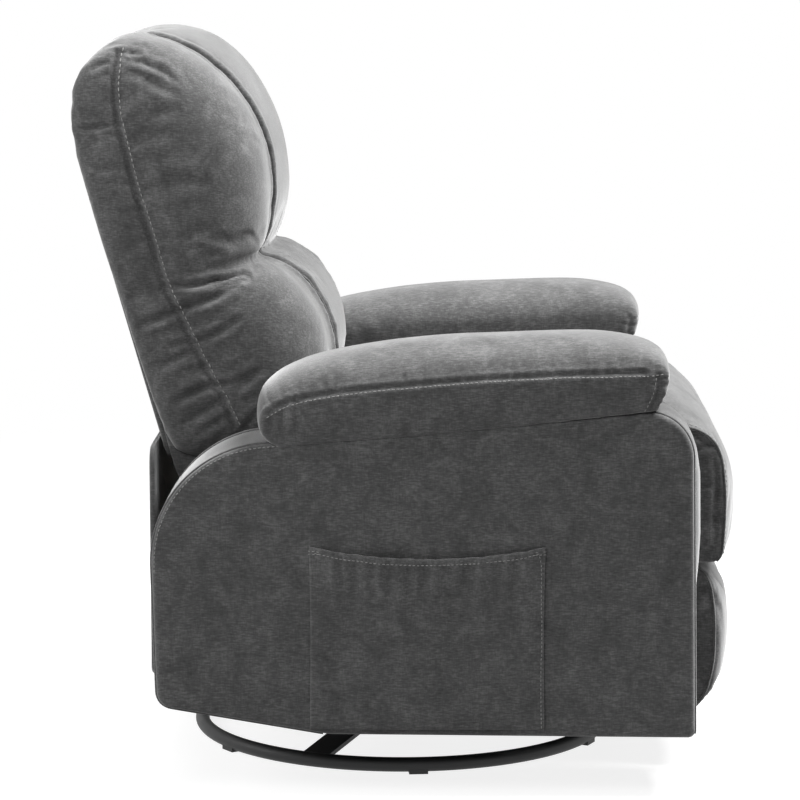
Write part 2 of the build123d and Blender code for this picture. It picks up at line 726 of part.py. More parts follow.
# Arms: a plywood box covered by an outer panel, an inner panel and a border band
ARM_OUTLINE = (
    (ARM_FRONT, ARM_FOOT_Z),
    (ARM_FRONT_TOP, ARM_FRONT_TOP_Z),
    (-ARM_REAR, ARM_REAR_TOP_Z),
    (-ARM_REAR_FOOT, ARM_REAR_FOOT_Z),
    (-ARM_KINK, ARM_KINK_Z),
)
ARM_RADII = (
    ARM_FOOT_RADIUS,
    ARM_FRONT_RADIUS,
    ARM_REAR_RADIUS,
    ARM_REAR_FOOT_RADIUS,
    ARM_KINK_RADIUS,
)
ARM_SLOPE = (ARM_FRONT_TOP_Z - ARM_REAR_TOP_Z) / (ARM_FRONT_TOP + ARM_REAR)
BOARD_EDGE = BORDER + SOFT_GAP
BATTENS = (
    (ARM_FRONT - 2 * BATTEN, ARM_FOOT_Z + BOARD_EDGE + BATTEN),
    (ARM_FRONT - 2 * BATTEN, ARM_FRONT_TOP_Z - 2.5 * BATTEN),
    (-ARM_REAR + 2 * BATTEN, ARM_REAR_FOOT_Z + 2 * BATTEN),
    (-ARM_KINK, ARM_REAR_TOP_Z - BATTEN),
)

with BuildSketch() as arm_outline:
    with BuildLine():
        FilletPolyline(*ARM_OUTLINE, radius=ARM_RADII, close=True)
    make_face()

with BuildSketch() as board_outline:
    add(offset(arm_outline.sketch, amount=-BOARD_EDGE, mode=Mode.PRIVATE))

with BuildSketch() as border_inside:
    add(offset(arm_outline.sketch, amount=-BORDER, mode=Mode.PRIVATE))

with BuildSketch() as board_window:
    add(offset(arm_outline.sketch, amount=-BOARD_EDGE - BOARD_RIM, mode=Mode.PRIVATE))

BOARD_IN = ARM_INNER + PANEL
BOARD_OUT = HALF_WIDTH - PANEL


def arm_top(forward):
    """Height of the arm box's sloping top edge."""
    return ARM_FRONT_TOP_Z - ARM_SLOPE * (ARM_FRONT_TOP - forward)


def pad_section(x, crown, drawn):
    """One fore-and-aft section of an arm pad: flat foot, round ends and a crowned top."""
    rise = PAD_SIDE + PAD_CROWN * crown - drawn
    rear = -PAD_REAR + drawn
    front = PAD_FRONT - drawn
    heel = (rear + PAD_END, arm_top(rear + PAD_END) + SOFT_GAP)
    toe = (front - PAD_END, arm_top(front - PAD_END) + SOFT_GAP)
    brow = (front - PAD_ROLL, arm_top(front - PAD_ROLL) + PAD_FRONT_SHARE * rise)
    nape = (rear + PAD_ROLL, arm_top(rear + PAD_ROLL) + PAD_REAR_SHARE * rise)
    nose = (front, (toe[1] + brow[1]) / 2)
    tail = (rear, (heel[1] + nape[1]) / 2)
    middle = ((brow[0] + nape[0]) / 2, (brow[1] + nape[1]) / 2 + PAD_ARCH)
    return (
        side_plane(x),
        heel,
        (
            (toe,),
            ((front - PAD_END * PAD_ROUND, toe[1] + PAD_ROUND_LOW * (nose[1] - toe[1])), nose),
            ((front - PAD_ROLL * PAD_ROUND, nose[1] + PAD_ROUND_HIGH * (brow[1] - nose[1])), brow),
            (middle, nape),
            ((rear + PAD_ROLL * PAD_ROUND, tail[1] + PAD_ROUND_HIGH * (nape[1] - tail[1])), tail),
            ((rear + PAD_END * PAD_ROUND, heel[1] + PAD_ROUND_LOW * (tail[1] - heel[1])), heel),
        ),
    )


PAD_IN = ARM_INNER + 2 * SOFT_GAP
PAD_OUT = HALF_WIDTH + PAD_OVERHANG
PAD_MIDDLE = (PAD_IN + PAD_OUT) / 2
PAD_HALF = (PAD_OUT - PAD_IN) / 2

for side, hand in ((-1, "right"), (1, "left")):
    with BuildPart() as outer_panel:
        with BuildSketch(slab_plane(side, BOARD_OUT, HALF_WIDTH)):
            add(arm_outline.sketch)
        extrude(amount=PANEL)
        outside = outer_panel.faces().sort_by(Axis.X)[0 if side < 0 else -1]
        fillet(outside.edges(), radius=PANEL / 2)
    save(outer_panel.part, f"arm_outer_panel_{hand}")

    with BuildPart() as inner_panel:
        with BuildSketch(slab_plane(side, ARM_INNER, BOARD_IN)):
            add(arm_outline.sketch)
            with Locations(*FLANGE_BOLTS):
                Circle(BOLT / 2 + BOLT_FIT, mode=Mode.SUBTRACT)
        extrude(amount=PANEL)
    save(inner_panel.part, f"arm_inner_panel_{hand}")

    with BuildPart() as border:
        with BuildSketch(slab_plane(side, BOARD_IN, BOARD_OUT)):
            add(arm_outline.sketch)
            add(border_inside.sketch, mode=Mode.SUBTRACT)
        extrude(amount=BOARD_OUT - BOARD_IN)
    save(border.part, f"arm_border_{hand}")

    with BuildPart() as boards:
        with BuildSketch(slab_plane(side, BOARD_IN, BOARD_IN + BOARD)):
            add(board_outline.sketch)
            with Locations(*FLANGE_BOLTS):
                Circle(BOLT / 2 + BOLT_FIT, mode=Mode.SUBTRACT)
        extrude(amount=BOARD)
        with BuildSketch(slab_plane(side, BOARD_OUT - BOARD, BOARD_OUT)):
            add(board_outline.sketch)
            add(board_window.sketch, mode=Mode.SUBTRACT)
        extrude(amount=BOARD)

    with BuildPart() as battens:
        with BuildSketch(slab_plane(side, BOARD_IN + BOARD, BOARD_OUT - BOARD)):
            with Locations(*BATTENS):
                Rectangle(BATTEN, BATTEN)
        extrude(amount=BOARD_OUT - BOARD_IN - 2 * BOARD)
    save(group(boards.part, battens.part), f"arm_frame_{hand}")

    pad_stations = across(side * PAD_MIDDLE, PAD_HALF)
    save(lofted([pad_section(*station) for station in pad_stations]), f"arm_pad_{hand}")

# Side pocket: a shallow pouch, open at its sagging top edge
POCKET_MIDDLE = (POCKET_FRONT - POCKET_REAR) / 2
POCKET_PASSES = (
    (0.0, POCKET_DEPTH, Mode.ADD),
    (POCKET_WALL, POCKET_DEPTH - POCKET_WALL, Mode.SUBTRACT),
)

with BuildPart() as side_pocket:
    for inset, depth, mode in POCKET_PASSES:
        with BuildSketch(side_plane(-HALF_WIDTH - SOFT_GAP)):
            with BuildLine():
                Polyline(
                    (-POCKET_REAR + inset, POCKET_TOP_Z),
                    (-POCKET_REAR + inset, POCKET_FOOT_Z + inset),
                    (POCKET_FRONT - inset, POCKET_FOOT_Z + inset),
                    (POCKET_FRONT - inset, POCKET_TOP_Z),
                )
                ThreePointArc(
                    (POCKET_FRONT - inset, POCKET_TOP_Z),
                    (POCKET_MIDDLE, POCKET_TOP_Z - POCKET_SAG + inset),
                    (-POCKET_REAR + inset, POCKET_TOP_Z),
                )
            make_face()
        extrude(amount=depth, mode=mode)
save(side_pocket.part, "side_pocket")

# Rear stretcher and skirt
with BuildPart() as rear_stretcher:
    with BuildSketch(side_plane(ARM_INNER - SOFT_GAP)):
        with Locations((-ARM_REAR - SOFT_GAP + STRETCHER_DEPTH / 2, STRETCHER_Z + STRETCHER_HEIGHT / 2)):
            Rectangle(STRETCHER_DEPTH, STRETCHER_HEIGHT)
    extrude(amount=2 * (ARM_INNER - SOFT_GAP))
save(rear_stretcher.part, "rear_stretcher")

with BuildPart() as back_skirt:
    with BuildSketch(cross_plane(-ARM_REAR - 2 * SOFT_GAP - SKIRT)):
        with Locations((0, (SKIRT_TOP + SKIRT_FOOT) / 2)):
            RectangleRounded(2 * (ARM_INNER + SKIRT_LAP), SKIRT_TOP - SKIRT_FOOT, SKIRT_LAP)
    extrude(amount=SKIRT)
save(back_skirt.part, "back_skirt")

# Seat carriage
SWING_HIGH = (
    polar(SWING_LOW[0], SWING_LENGTH, 90 + SWING_LEAN),
    polar(SWING_LOW[1], SWING_LENGTH, 90 + SWING_LEAN),
)
SEAT_RAIL_TOP = SEAT_RAIL_Z + SEAT_RAIL_HEIGHT

save(
    headed_pins(
        SWING_LOW,
        SWING_PIN,
        RAIL_OUT - RAIL_WALL,
        SWING_OUT + PIN_FIT,
        SWING_HEAD,
        SWING_OUT + PIN_FIT,
        SWING_OUT + PIN_FIT + SWING_HEAD_HEIGHT,
    ),
    "swing_lower_pins",
)
for place, low, high in zip(("rear", "front"), SWING_LOW, SWING_HIGH):
    swing_links = flat_links(
        SWING_IN, SWING_OUT, (low, high), SWING_WIDTH, (low, high), SWING_PIN + 2 * PIN_FIT
    )
    save(swing_links, f"swing_links_{place}")
save(
    headed_pins(
        SWING_HIGH,
        SWING_PIN,
        SWING_IN - PIN_FIT,
        SEAT_RAIL_IN,
        SWING_HEAD,
        SWING_IN - PIN_FIT - SWING_HEAD_HEIGHT,
        SWING_IN - PIN_FIT,
    ),
    "swing_upper_pins",
)

with BuildPart() as seat_hangers:
    with BuildSketch(side_plane(-SEAT_HANGER_IN)):
        for pivot in SWING_HIGH:
            with Locations((pivot[0], (pivot[1] + SEAT_RAIL_TOP) / 2)):
                Rectangle(2 * SWING_WIDTH, SEAT_RAIL_TOP - pivot[1])
            with Locations(pivot):
                Circle(SWING_WIDTH)
        with Locations(*SWING_HIGH):
            Circle(SWING_PIN / 2 + PIN_FIT, mode=Mode.SUBTRACT)
    extrude(amount=PLATE)
    mirror(about=Plane.YZ)
save(seat_hangers.part, "seat_hangers")

FOOT_LOW_REAR = polar(FOOT_PIVOT, -FOOT_BAR, FOOT_BAR_RISE)
FOOT_DRIVE = polar(FOOT_LOW_REAR, -FOOT_LINK, FOOT_LINK_FOLDED)
FOOT_IDLER = polar(FOOT_DRIVE, FOOT_IDLER_STEP, FOOT_BAR_RISE)
FOOT_IDLER_LOW = polar(FOOT_LOW_REAR, FOOT_IDLER_STEP, FOOT_BAR_RISE)
FOOT_HIGH_REAR = polar(FOOT_LOW_REAR, -FOOT_BAR_STEP, FOOT_LINK_FOLDED)
FOOT_HIGH_FRONT = polar(FOOT_PIVOT, -FOOT_BAR_STEP, FOOT_LINK_FOLDED)

with BuildPart() as seat_side_rails:
    with BuildSketch(side_plane(-SEAT_RAIL_IN)):
        with Locations(((SEAT_RAIL_REAR + SEAT_RAIL_FRONT) / 2, (SEAT_RAIL_Z + SEAT_RAIL_TOP) / 2)):
            Rectangle(SEAT_RAIL_FRONT - SEAT_RAIL_REAR, SEAT_RAIL_HEIGHT)
        with Locations(FOOT_DRIVE):
            Circle(DRIVE_TUBE / 2 + 2 * LAYER_GAP, mode=Mode.SUBTRACT)
    extrude(amount=SEAT_RAIL_WIDTH)
    mirror(about=Plane.YZ)

CROSS_RAILS = (
    (SEAT_RAIL_REAR, SEAT_HANGER_IN),
    (SEAT_RAIL_FRONT - SEAT_RAIL_WIDTH, SEAT_RAIL_IN),
)

with BuildPart() as seat_cross_rails:
    for rear, half in CROSS_RAILS:
        with BuildSketch(cross_plane(rear)):
            with Locations((0, SEAT_RAIL_TOP - SEAT_CROSS_RAIL / 2)):
                Rectangle(2 * half, SEAT_CROSS_RAIL)
        extrude(amount=SEAT_RAIL_WIDTH)
save(group(seat_side_rails.part, seat_cross_rails.part), "seat_frame")

# Zigzag seat springs, clipped to the front and rear rails
SINUOUS_Z = SEAT_RAIL_TOP + SINUOUS_WIRE / 2 + SOFT_GAP
SPRING_START = SEAT_RAIL_REAR + SEAT_RAIL_WIDTH / 2
SPRING_RUN = SEAT_RAIL_FRONT - SEAT_RAIL_REAR - SEAT_RAIL_WIDTH
SPRING_STEPS = 2 * int(SPRING_RUN / SINUOUS_PITCH / 2)
SPRING_STEP = SPRING_RUN / SPRING_STEPS
ROW_STEP = 2 * SEAT_RAIL_IN / SPRING_ROWS
ROWS = []
for row in range(SPRING_ROWS):
    ROWS.append((row - (SPRING_ROWS - 1) / 2) * ROW_STEP)


def zigzag_route(middle):
    """Corners of one spring: a straight tail at each end and square waves between."""
    near = SPRING_START + SPRING_STEP
    route = [(middle, SPRING_START)]
    for step in range(SPRING_STEPS - 2):
        swing = SINUOUS_HALF if step % 2 else -SINUOUS_HALF
        route.append((route[-1][0], near + step * SPRING_STEP))
        route.append((middle + swing, near + step * SPRING_STEP))
    far = near + (SPRING_STEPS - 2) * SPRING_STEP
    route.append((route[-1][0], far))
    route.append((middle, far))
    route.append((middle, SPRING_START + SPRING_RUN))
    return [(x, -forward, SINUOUS_Z) for x, forward in route]


with BuildPart() as seat_springs:
    for middle in ROWS:
        with BuildLine() as zigzag:
            FilletPolyline(*zigzag_route(middle), radius=SINUOUS_RADIUS)
        with BuildSketch(Plane(origin=zigzag.line @ 0, z_dir=zigzag.line % 0)):
            Circle(SINUOUS_WIRE / 2)
        sweep(path=zigzag.line)
save(seat_springs.part, "seat_springs")

with BuildPart() as spring_clips:
    for forward in (SPRING_START, SPRING_START + SPRING_RUN):
        with BuildSketch(Plane.XY.offset(SEAT_RAIL_TOP)):
            for middle in ROWS:
                with Locations((middle, -forward)):
                    Rectangle(CLIP_WIDTH, CLIP_LENGTH)
        extrude(amount=CLIP_HEIGHT)
        with BuildSketch(cross_plane(forward - CLIP_LENGTH)):
            for middle in ROWS:
                with Locations((middle, SINUOUS_Z)):
                    Circle(SINUOUS_WIRE / 2 + SOFT_GAP)
                    Rectangle(
                        SINUOUS_WIRE + 2 * SOFT_GAP,
                        SINUOUS_WIRE,
                        align=(Align.CENTER, Align.MAX),
                    )
        extrude(amount=2 * CLIP_LENGTH, mode=Mode.SUBTRACT)
save(spring_clips.part, "spring_clips")

# Steel side plates of the footrest linkage and the back hinges, on the seat's side rails
with BuildPart() as footrest_side_plates:
    with BuildSketch(side_plane(-SIDE_PLATE_IN)):
        with Locations(((FOOT_DRIVE[0] + FOOT_IDLER[0]) / 2, (SEAT_RAIL_Z + SEAT_RAIL_TOP) / 2)):
            RectangleRounded(FOOT_IDLER_STEP * 3, SEAT_RAIL_HEIGHT - PLATE, 2 * PLATE)
        with Locations(FOOT_DRIVE):
            Circle(DRIVE_TUBE / 2 + PIN_FIT, mode=Mode.SUBTRACT)
        with Locations(FOOT_IDLER):
            Circle(FOOT_PIN / 2 + PIN_FIT, mode=Mode.SUBTRACT)
    extrude(amount=PLATE)
    mirror(about=Plane.YZ)
save(footrest_side_plates.part, "footrest_side_plates")

with BuildPart() as hinge_plates:
    with BuildSketch(side_plane(-SIDE_PLATE_IN)):
        Polygon(
            (SEAT_RAIL_REAR + 5 * HINGE_EYE, SEAT_RAIL_Z + PLATE),
            (SEAT_RAIL_REAR + 5 * HINGE_EYE, SEAT_RAIL_TOP - PLATE),
            (SEAT_RAIL_REAR + HINGE_EYE, SEAT_RAIL_TOP - PLATE),
            (HINGE[0] + HINGE_EYE, HINGE[1]),
            (HINGE[0] - HINGE_EYE, HINGE[1]),
            (SEAT_RAIL_REAR - HINGE_EYE / 2, SEAT_RAIL_Z + PLATE),
            align=None,
        )
        with Locations(HINGE):
            Circle(HINGE_EYE)
            Circle(HINGE_PIN / 2 + PIN_FIT, mode=Mode.SUBTRACT)
    extrude(amount=PLATE)
    mirror(about=Plane.YZ)
save(hinge_plates.part, "hinge_plates")

hinge_pins = headed_pins(
    (HINGE,),
    HINGE_PIN,
    SIDE_PLATE_IN,
    LINK_OUT + PIN_FIT,
    HINGE_HEAD,
    LINK_OUT + PIN_FIT,
    LINK_OUT + PIN_FIT + FOOT_HEAD_HEIGHT,
)
idler_pins = headed_pins(
    (FOOT_IDLER,),
    FOOT_PIN,
    SIDE_PLATE_IN,
    LINK_OUT + PIN_FIT,
    FOOT_HEAD,
    LINK_OUT + PIN_FIT,
    BAR_IN - PIN_FIT,
)
save(group(hinge_pins, idler_pins), "seat_pivot_pins")

# Seat cushion: crowned top, waterfall nose, side seams drawn in
SEAT_FLOOR = SEAT_RAIL_TOP + CLIP_HEIGHT + SOFT_GAP
NOSE_BACK = SEAT_RAIL_FRONT + PLATE


def seat_section(x, crown, drawn):
    """One fore-and-aft section of the seat cushion."""
    rise = SEAT_CROWN * crown - drawn
    reach = SEAT_NOSE_CROWN * crown - drawn
    brow = (SEAT_BROW, SEAT_BROW_Z + rise)
    nose = (SEAT_NOSE + reach, SEAT_NOSE_Z)
    over = SEAT_TURN_SIDE[0] + (SEAT_TURN_MIDDLE[0] - SEAT_TURN_SIDE[0]) * crown
    up = SEAT_TURN_SIDE[1] + (SEAT_TURN_MIDDLE[1] - SEAT_TURN_SIDE[1]) * crown
    turn = (brow[0] + over * (nose[0] - brow[0]), nose[1] + up * (brow[1] - nose[1]))
    toe = (SEAT_NOSE + reach - DRAW_IN / 2, SEAT_NOSE_FOOT_Z + drawn / 2)
    heel = (SEAT_REAR + drawn / 2, SEAT_REAR_Z + rise / 2)
    return (
        side_plane(x),
        (SEAT_REAR + drawn / 2, SEAT_FLOOR),
        (
            (heel,),
            ((SEAT_MIDDLE, SEAT_MIDDLE_Z + rise), brow),
            (turn, nose),
            ((nose[0] + SEAT_NOSE_BULGE, (SEAT_NOSE_Z + SEAT_NOSE_FOOT_Z) / 2), toe),
            ((NOSE_BACK, SEAT_NOSE_FOOT_Z + drawn / 2),),
            ((NOSE_BACK, SEAT_FLOOR),),
            ((SEAT_REAR + drawn / 2, SEAT_FLOOR),),
        ),
    )


save(lofted([seat_section(*station) for station in across(0.0, SEAT_HALF)]), "seat_cushion")

# Footrest linkage
with BuildPart() as footrest_drive_tube:
    with BuildSketch(side_plane(LINK_IN)):
        with Locations(FOOT_DRIVE):
            Circle(DRIVE_TUBE / 2)
            Circle(DRIVE_TUBE / 2 - DRIVE_TUBE_WALL, mode=Mode.SUBTRACT)
    extrude(amount=2 * LINK_IN)
save(footrest_drive_tube.part, "footrest_drive_tube")

FOOT_HOLE = FOOT_PIN + 2 * PIN_FIT


def rivets(centres):
    """Rivet pins through a link and the bar outside it."""
    head = BAR_OUT + PIN_FIT
    return headed_pins(
        centres, FOOT_PIN, LINK_IN, head, FOOT_HEAD, head, head + FOOT_HEAD_HEIGHT
    )


main_holes = (FOOT_LOW_REAR, FOOT_HIGH_REAR)
main_links = flat_links(
    LINK_IN, LINK_OUT, (FOOT_DRIVE, FOOT_LOW_REAR), FOOT_LINK_WIDTH, main_holes, FOOT_HOLE
)
save(group(main_links, rivets(main_holes)), "footrest_main_links")

idler_holes = (FOOT_IDLER, FOOT_IDLER_LOW)
idler_links = flat_links(LINK_IN, LINK_OUT, idler_holes, FOOT_LINK_WIDTH, idler_holes, FOOT_HOLE)
save(idler_links, "footrest_idler_links")

lower_holes = (FOOT_LOW_REAR, FOOT_IDLER_LOW, FOOT_PIVOT)
lower_bars = flat_links(
    BAR_IN, BAR_OUT, (FOOT_LOW_REAR, FOOT_PIVOT), FOOT_BAR_WIDTH, lower_holes, FOOT_HOLE
)
save(group(lower_bars, rivets((FOOT_IDLER_LOW, FOOT_PIVOT))), "footrest_lower_bars")

upper_holes = (FOOT_HIGH_REAR, FOOT_HIGH_FRONT)
upper_bars = flat_links(BAR_IN, BAR_OUT, upper_holes, FOOT_BAR_WIDTH, upper_holes, FOOT_HOLE)
save(group(upper_bars, rivets((FOOT_HIGH_FRONT,))), "footrest_upper_bars")

with BuildPart() as footrest_brackets:
    with BuildSketch(side_plane(-LINK_IN)):
        with BuildLine():
            FilletPolyline(
                polar(FOOT_PIVOT, FOOT_LINK_WIDTH, FOOT_LINK_FOLDED),
                (FOOT_BOARD_REAR, FOOT_PIVOT[1] - FOOT_LINK_WIDTH),
                (FOOT_BOARD_REAR, FOOT_HIGH_FRONT[1] + FOOT_LINK_WIDTH / 2),
                (FOOT_HIGH_FRONT[0] - FOOT_LINK_WIDTH / 2, FOOT_HIGH_FRONT[1] + FOOT_LINK_WIDTH / 2),
                (FOOT_PIVOT[0] - FOOT_LINK_WIDTH / 2, FOOT_PIVOT[1]),
                radius=(0, 0, FOOT_PIN, FOOT_PIN, 0),
                close=True,
            )
        make_face()
        with Locations(FOOT_PIVOT, FOOT_HIGH_FRONT):
            Circle(FOOT_HOLE / 2, mode=Mode.SUBTRACT)
    extrude(amount=PLATE)
    with BuildSketch(cross_plane(FOOT_BOARD_REAR - PLATE)):
        with Locations((-LINK_IN + BRACKET_FLANGE / 2, (FOOT_PIVOT[1] + FOOT_HIGH_FRONT[1]) / 2)):
            Rectangle(BRACKET_FLANGE, FOOT_HIGH_FRONT[1] - FOOT_PIVOT[1] + FOOT_LINK_WIDTH)
    extrude(amount=PLATE)
    mirror(about=Plane.YZ)
save(footrest_brackets.part, "footrest_brackets")

with BuildPart() as footrest_board:
    with BuildSketch(cross_plane(FOOT_BOARD_REAR)):
        with Locations((0, (FOOT_BOARD_FOOT + FOOT_BOARD_TOP) / 2)):
            RectangleRounded(2 * (SEAT_HALF - PANEL), FOOT_BOARD_TOP - FOOT_BOARD_FOOT, BORDER)
    extrude(amount=FOOT_BOARD)
save(footrest_board.part, "footrest_board")

FOOT_PAD_REAR = FOOT_BOARD_REAR + FOOT_BOARD + SOFT_GAP


def foot_pad_section(x, crown, drawn):
    """One upright section of the footrest pad: flat back, full front."""
    face = FOOT_PAD_REAR + FOOT_PAD_THICK + FOOT_PAD_CROWN * crown - drawn
    top = FOOT_PAD_TOP - drawn / 2
    foot = FOOT_PAD_FOOT + drawn / 2
    middle = (top + foot) / 2
    brow = FOOT_PAD_REAR + FOOT_PAD_THICK * FOOT_PAD_BROW
    near = face - FOOT_PAD_ROUND[0]
    lift = FOOT_PAD_ROUND[1] * (top - foot)
    return (
        side_plane(x),
        (FOOT_PAD_REAR, foot),
        (
            ((FOOT_PAD_REAR, top),),
            ((brow, top),),
            ((near, middle + lift), (face, middle)),
            ((near, middle - lift), (brow, foot)),
            ((FOOT_PAD_REAR, foot),),
        ),
    )


save(lofted([foot_pad_section(*station) for station in across(0.0, SEAT_HALF)]), "footrest_pad")

# Back frame, in its leaning frame
POST_OUT = LINK_IN
POST_IN = POST_OUT - POST_WIDTH
POST_FRONT = POST_REAR + POST_DEPTH

with BuildPart() as back_posts:
    with BuildSketch(back_plane(-POST_IN)):
        with Locations((POST_REAR + POST_DEPTH / 2, (BACK_BOTTOM + BACK_TOP) / 2)):
            Rectangle(POST_DEPTH, BACK_TOP - BACK_BOTTOM)
    extrude(amount=POST_WIDTH)
    mirror(about=Plane.YZ)

with BuildPart() as back_rails:
    with BuildSketch(back_plane(POST_IN)):
        for level in (BACK_BOTTOM, CREASE, BACK_TOP - BACK_RAIL_HEIGHT):
            with Locations((POST_REAR + BACK_RAIL_DEPTH / 2, level + BACK_RAIL_HEIGHT / 2)):
                Rectangle(BACK_RAIL_DEPTH, BACK_RAIL_HEIGHT)
    extrude(amount=2 * POST_IN)
save(group(back_posts.part, back_rails.part), "back_frame")

with BuildPart() as back_webbing:
    with BuildSketch(back_plane(POST_OUT)):
        for strap in range(WEB_COUNT):
            with Locations((POST_FRONT + WEB / 2, WEB_FIRST + strap * WEB_STEP)):
                Rectangle(WEB, WEB_HEIGHT)
    extrude(amount=2 * POST_OUT)
save(back_webbing.part, "back_webbing")

HINGE_OUT, HINGE_UP = to_back_frame(HINGE)

with BuildPart() as back_brackets:
    with BuildSketch(back_plane(-LINK_IN)):
        Polygon(
            (POST_REAR + PLATE, BACK_BOTTOM + BACK_RAIL_HEIGHT * 2),
            (POST_REAR + PLATE, BACK_BOTTOM + PLATE),
            (HINGE_OUT - HINGE_EYE, HINGE_UP),
            (HINGE_OUT + HINGE_EYE, HINGE_UP),
            (POST_FRONT, BACK_BOTTOM - PLATE),
            (POST_FRONT, BACK_BOTTOM + BACK_RAIL_HEIGHT * 2),
            align=None,
        )
        with Locations((HINGE_OUT, HINGE_UP)):
            Circle(HINGE_EYE)
            Circle(HINGE_PIN / 2 + PIN_FIT, mode=Mode.SUBTRACT)
    extrude(amount=PLATE)
    mirror(about=Plane.YZ)
save(back_brackets.part, "back_brackets")

BAND_IN = LINK_OUT + 2 * SOFT_GAP

with BuildPart() as back_outer_panel:
    with BuildSketch(back_plane(BAND_IN - SOFT_GAP)):
        with Locations((BACK_PANEL / 2, (BACK_BOTTOM + BACK_TOP) / 2)):
            Rectangle(BACK_PANEL, BACK_TOP - BACK_BOTTOM)
    extrude(amount=2 * (BAND_IN - SOFT_GAP))
save(back_outer_panel.part, "back_outer_panel")

with BuildPart() as back_side_bands:
    with BuildSketch(back_plane(-BAND_IN)):
        with Locations((BACK_BAND_DEPTH / 2, (BACK_BOTTOM + BACK_TOP) / 2)):
            RectangleRounded(BACK_BAND_DEPTH, BACK_TOP - BACK_BOTTOM, BACK_PANEL)
    extrude(amount=BACK_SIDE - BAND_IN)
    outside = back_side_bands.faces().sort_by(Axis.X)[0]
    fillet(outside.edges(), radius=BAND_ROUND)
    mirror(about=Plane.YZ)
save(back_side_bands.part, "back_side_bands")

CUSHION_REAR = POST_FRONT + WEB + SOFT_GAP
BACK_HALF = [share * BACK_SEAM for share in CHANNEL_STEPS]
BACK_HALF.extend(BACK_SEAM + share * (BACK_SIDE - BACK_SEAM) for share in SIDE_STEPS)
BACK_STATIONS = [-x for x in reversed(BACK_HALF[1:])] + BACK_HALF


def channel_swell(x):
    """How far the cushion stands out at a place across it: crowned, dipped at seams, drawn in."""
    share = abs(x) / BACK_SIDE
    dip = BACK_SEAM_DIP * exp(-(((abs(x) - BACK_SEAM) / BACK_SEAM_WIDTH) ** 2))
    return BACK_CROWN * (1 - share**2) - dip - DRAW_IN * share**8


def lumbar_section(x):
    """One section of the lumbar cushion, in the leaning frame."""
    swell = channel_swell(x)
    foot = BACK_BOTTOM
    top = CREASE - CREASE_GAP / 2
    curve = []
    for depth, height in LUMBAR_FRONT_CURVE:
        curve.append((LUMBAR_FRONT * depth + swell, foot + height))
    return (
        back_plane(x),
        (CUSHION_REAR, foot),
        (
            ((LUMBAR_FRONT * LUMBAR_HEM, foot),),
            (curve[0], curve[1]),
            (curve[2], curve[3]),
            (curve[4], (LUMBAR_FRONT * LUMBAR_NECK + swell, top)),
            ((CUSHION_REAR, top),),
            ((CUSHION_REAR, foot),),
        ),
    )


save(lofted([lumbar_section(x) for x in BACK_STATIONS], ruled=True), "lumbar_cushion")


def head_section(x):
    """One section of the head cushion, which rolls over the top of the frame."""
    swell = channel_swell(x)
    foot = CREASE + CREASE_GAP / 2
    top = HEAD_TOP + swell / 2
    ledge = BACK_TOP + CREASE_GAP
    rear = HEAD_REAR_INSET
    cheek = (HEAD_FRONT * HEAD_CHEEK[0] + swell, foot + HEAD_CHEEK[1])
    front = []
    for depth, below in HEAD_FRONT_CURVE:
        front.append((HEAD_FRONT * depth + swell, top - below))
    over = []
    for depth, below in HEAD_TOP_CURVE:
        over.append((HEAD_FRONT * depth + rear, top - below))
    return (
        back_plane(x),
        (CUSHION_REAR, foot),
        (
            ((HEAD_FRONT * HEAD_CHIN + swell, foot),),
            (cheek, front[0]),
            (front[1], front[2]),
            (over[0], over[1]),
            (over[2], (rear, ledge)),
            ((CUSHION_REAR, ledge),),
            ((CUSHION_REAR, foot),),
        ),
    )


save(lofted([head_section(x) for x in BACK_STATIONS], ruled=True), "head_cushion")

# Release strap, sliding in a guide on the right side plate
STRAP_X = (SEAT_HALF + ARM_INNER) / 2
GUIDE_OUT = STRAP_X + STRAP_THICK

with BuildPart() as release_guide:
    with BuildSketch(Plane.XY.offset(GUIDE_Z)):
        with Locations((-(SIDE_PLATE_OUT + GUIDE_OUT) / 2, -STRAP_FORWARD)):
            Rectangle(GUIDE_OUT - SIDE_PLATE_OUT, STRAP_WIDTH + 2 * GUIDE_MARGIN)
        with Locations((-STRAP_X, -STRAP_FORWARD)):
            Rectangle(
                STRAP_THICK + 2 * SOFT_GAP, STRAP_WIDTH + 2 * SOFT_GAP, mode=Mode.SUBTRACT
            )
    extrude(amount=GUIDE_HEIGHT)
save(release_guide.part, "release_guide")

with BuildPart() as release_strap:
    with BuildSketch(side_plane(-STRAP_X + STRAP_THICK / 2)):
        with Locations((STRAP_FORWARD, (STRAP_TOP + GUIDE_Z - STRAP_PULL - TOGGLE) / 2)):
            Rectangle(STRAP_WIDTH, STRAP_TOP - GUIDE_Z + STRAP_PULL + TOGGLE)
    extrude(amount=STRAP_THICK)
    with BuildSketch(side_plane(-STRAP_X + STRAP_THICK)):
        with Locations((STRAP_FORWARD, GUIDE_Z - STRAP_PULL - TOGGLE)):
            RectangleRounded(STRAP_WIDTH + GUIDE_MARGIN, TOGGLE, STRAP_THICK)
    extrude(amount=2 * STRAP_THICK)
save(release_strap.part, "release_strap")
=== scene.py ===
# %% [markdown]
# # A swivel rocker recliner, dressed over its CAD frame
#
# The solids already hold the mechanism, the plywood boxes and the true sizes.
# What they lack is the skin that the eye sees: stuffed cushions, sewn panels,
# thread, and metal with a real surface. Each piece below is made in the frame's
# own metres, so it lands where the solids are and nothing has to be fitted.

import math

import bpy
import bmesh
import numpy as np
from mathutils import Matrix, Vector
from mathutils.geometry import delaunay_2d_cdt


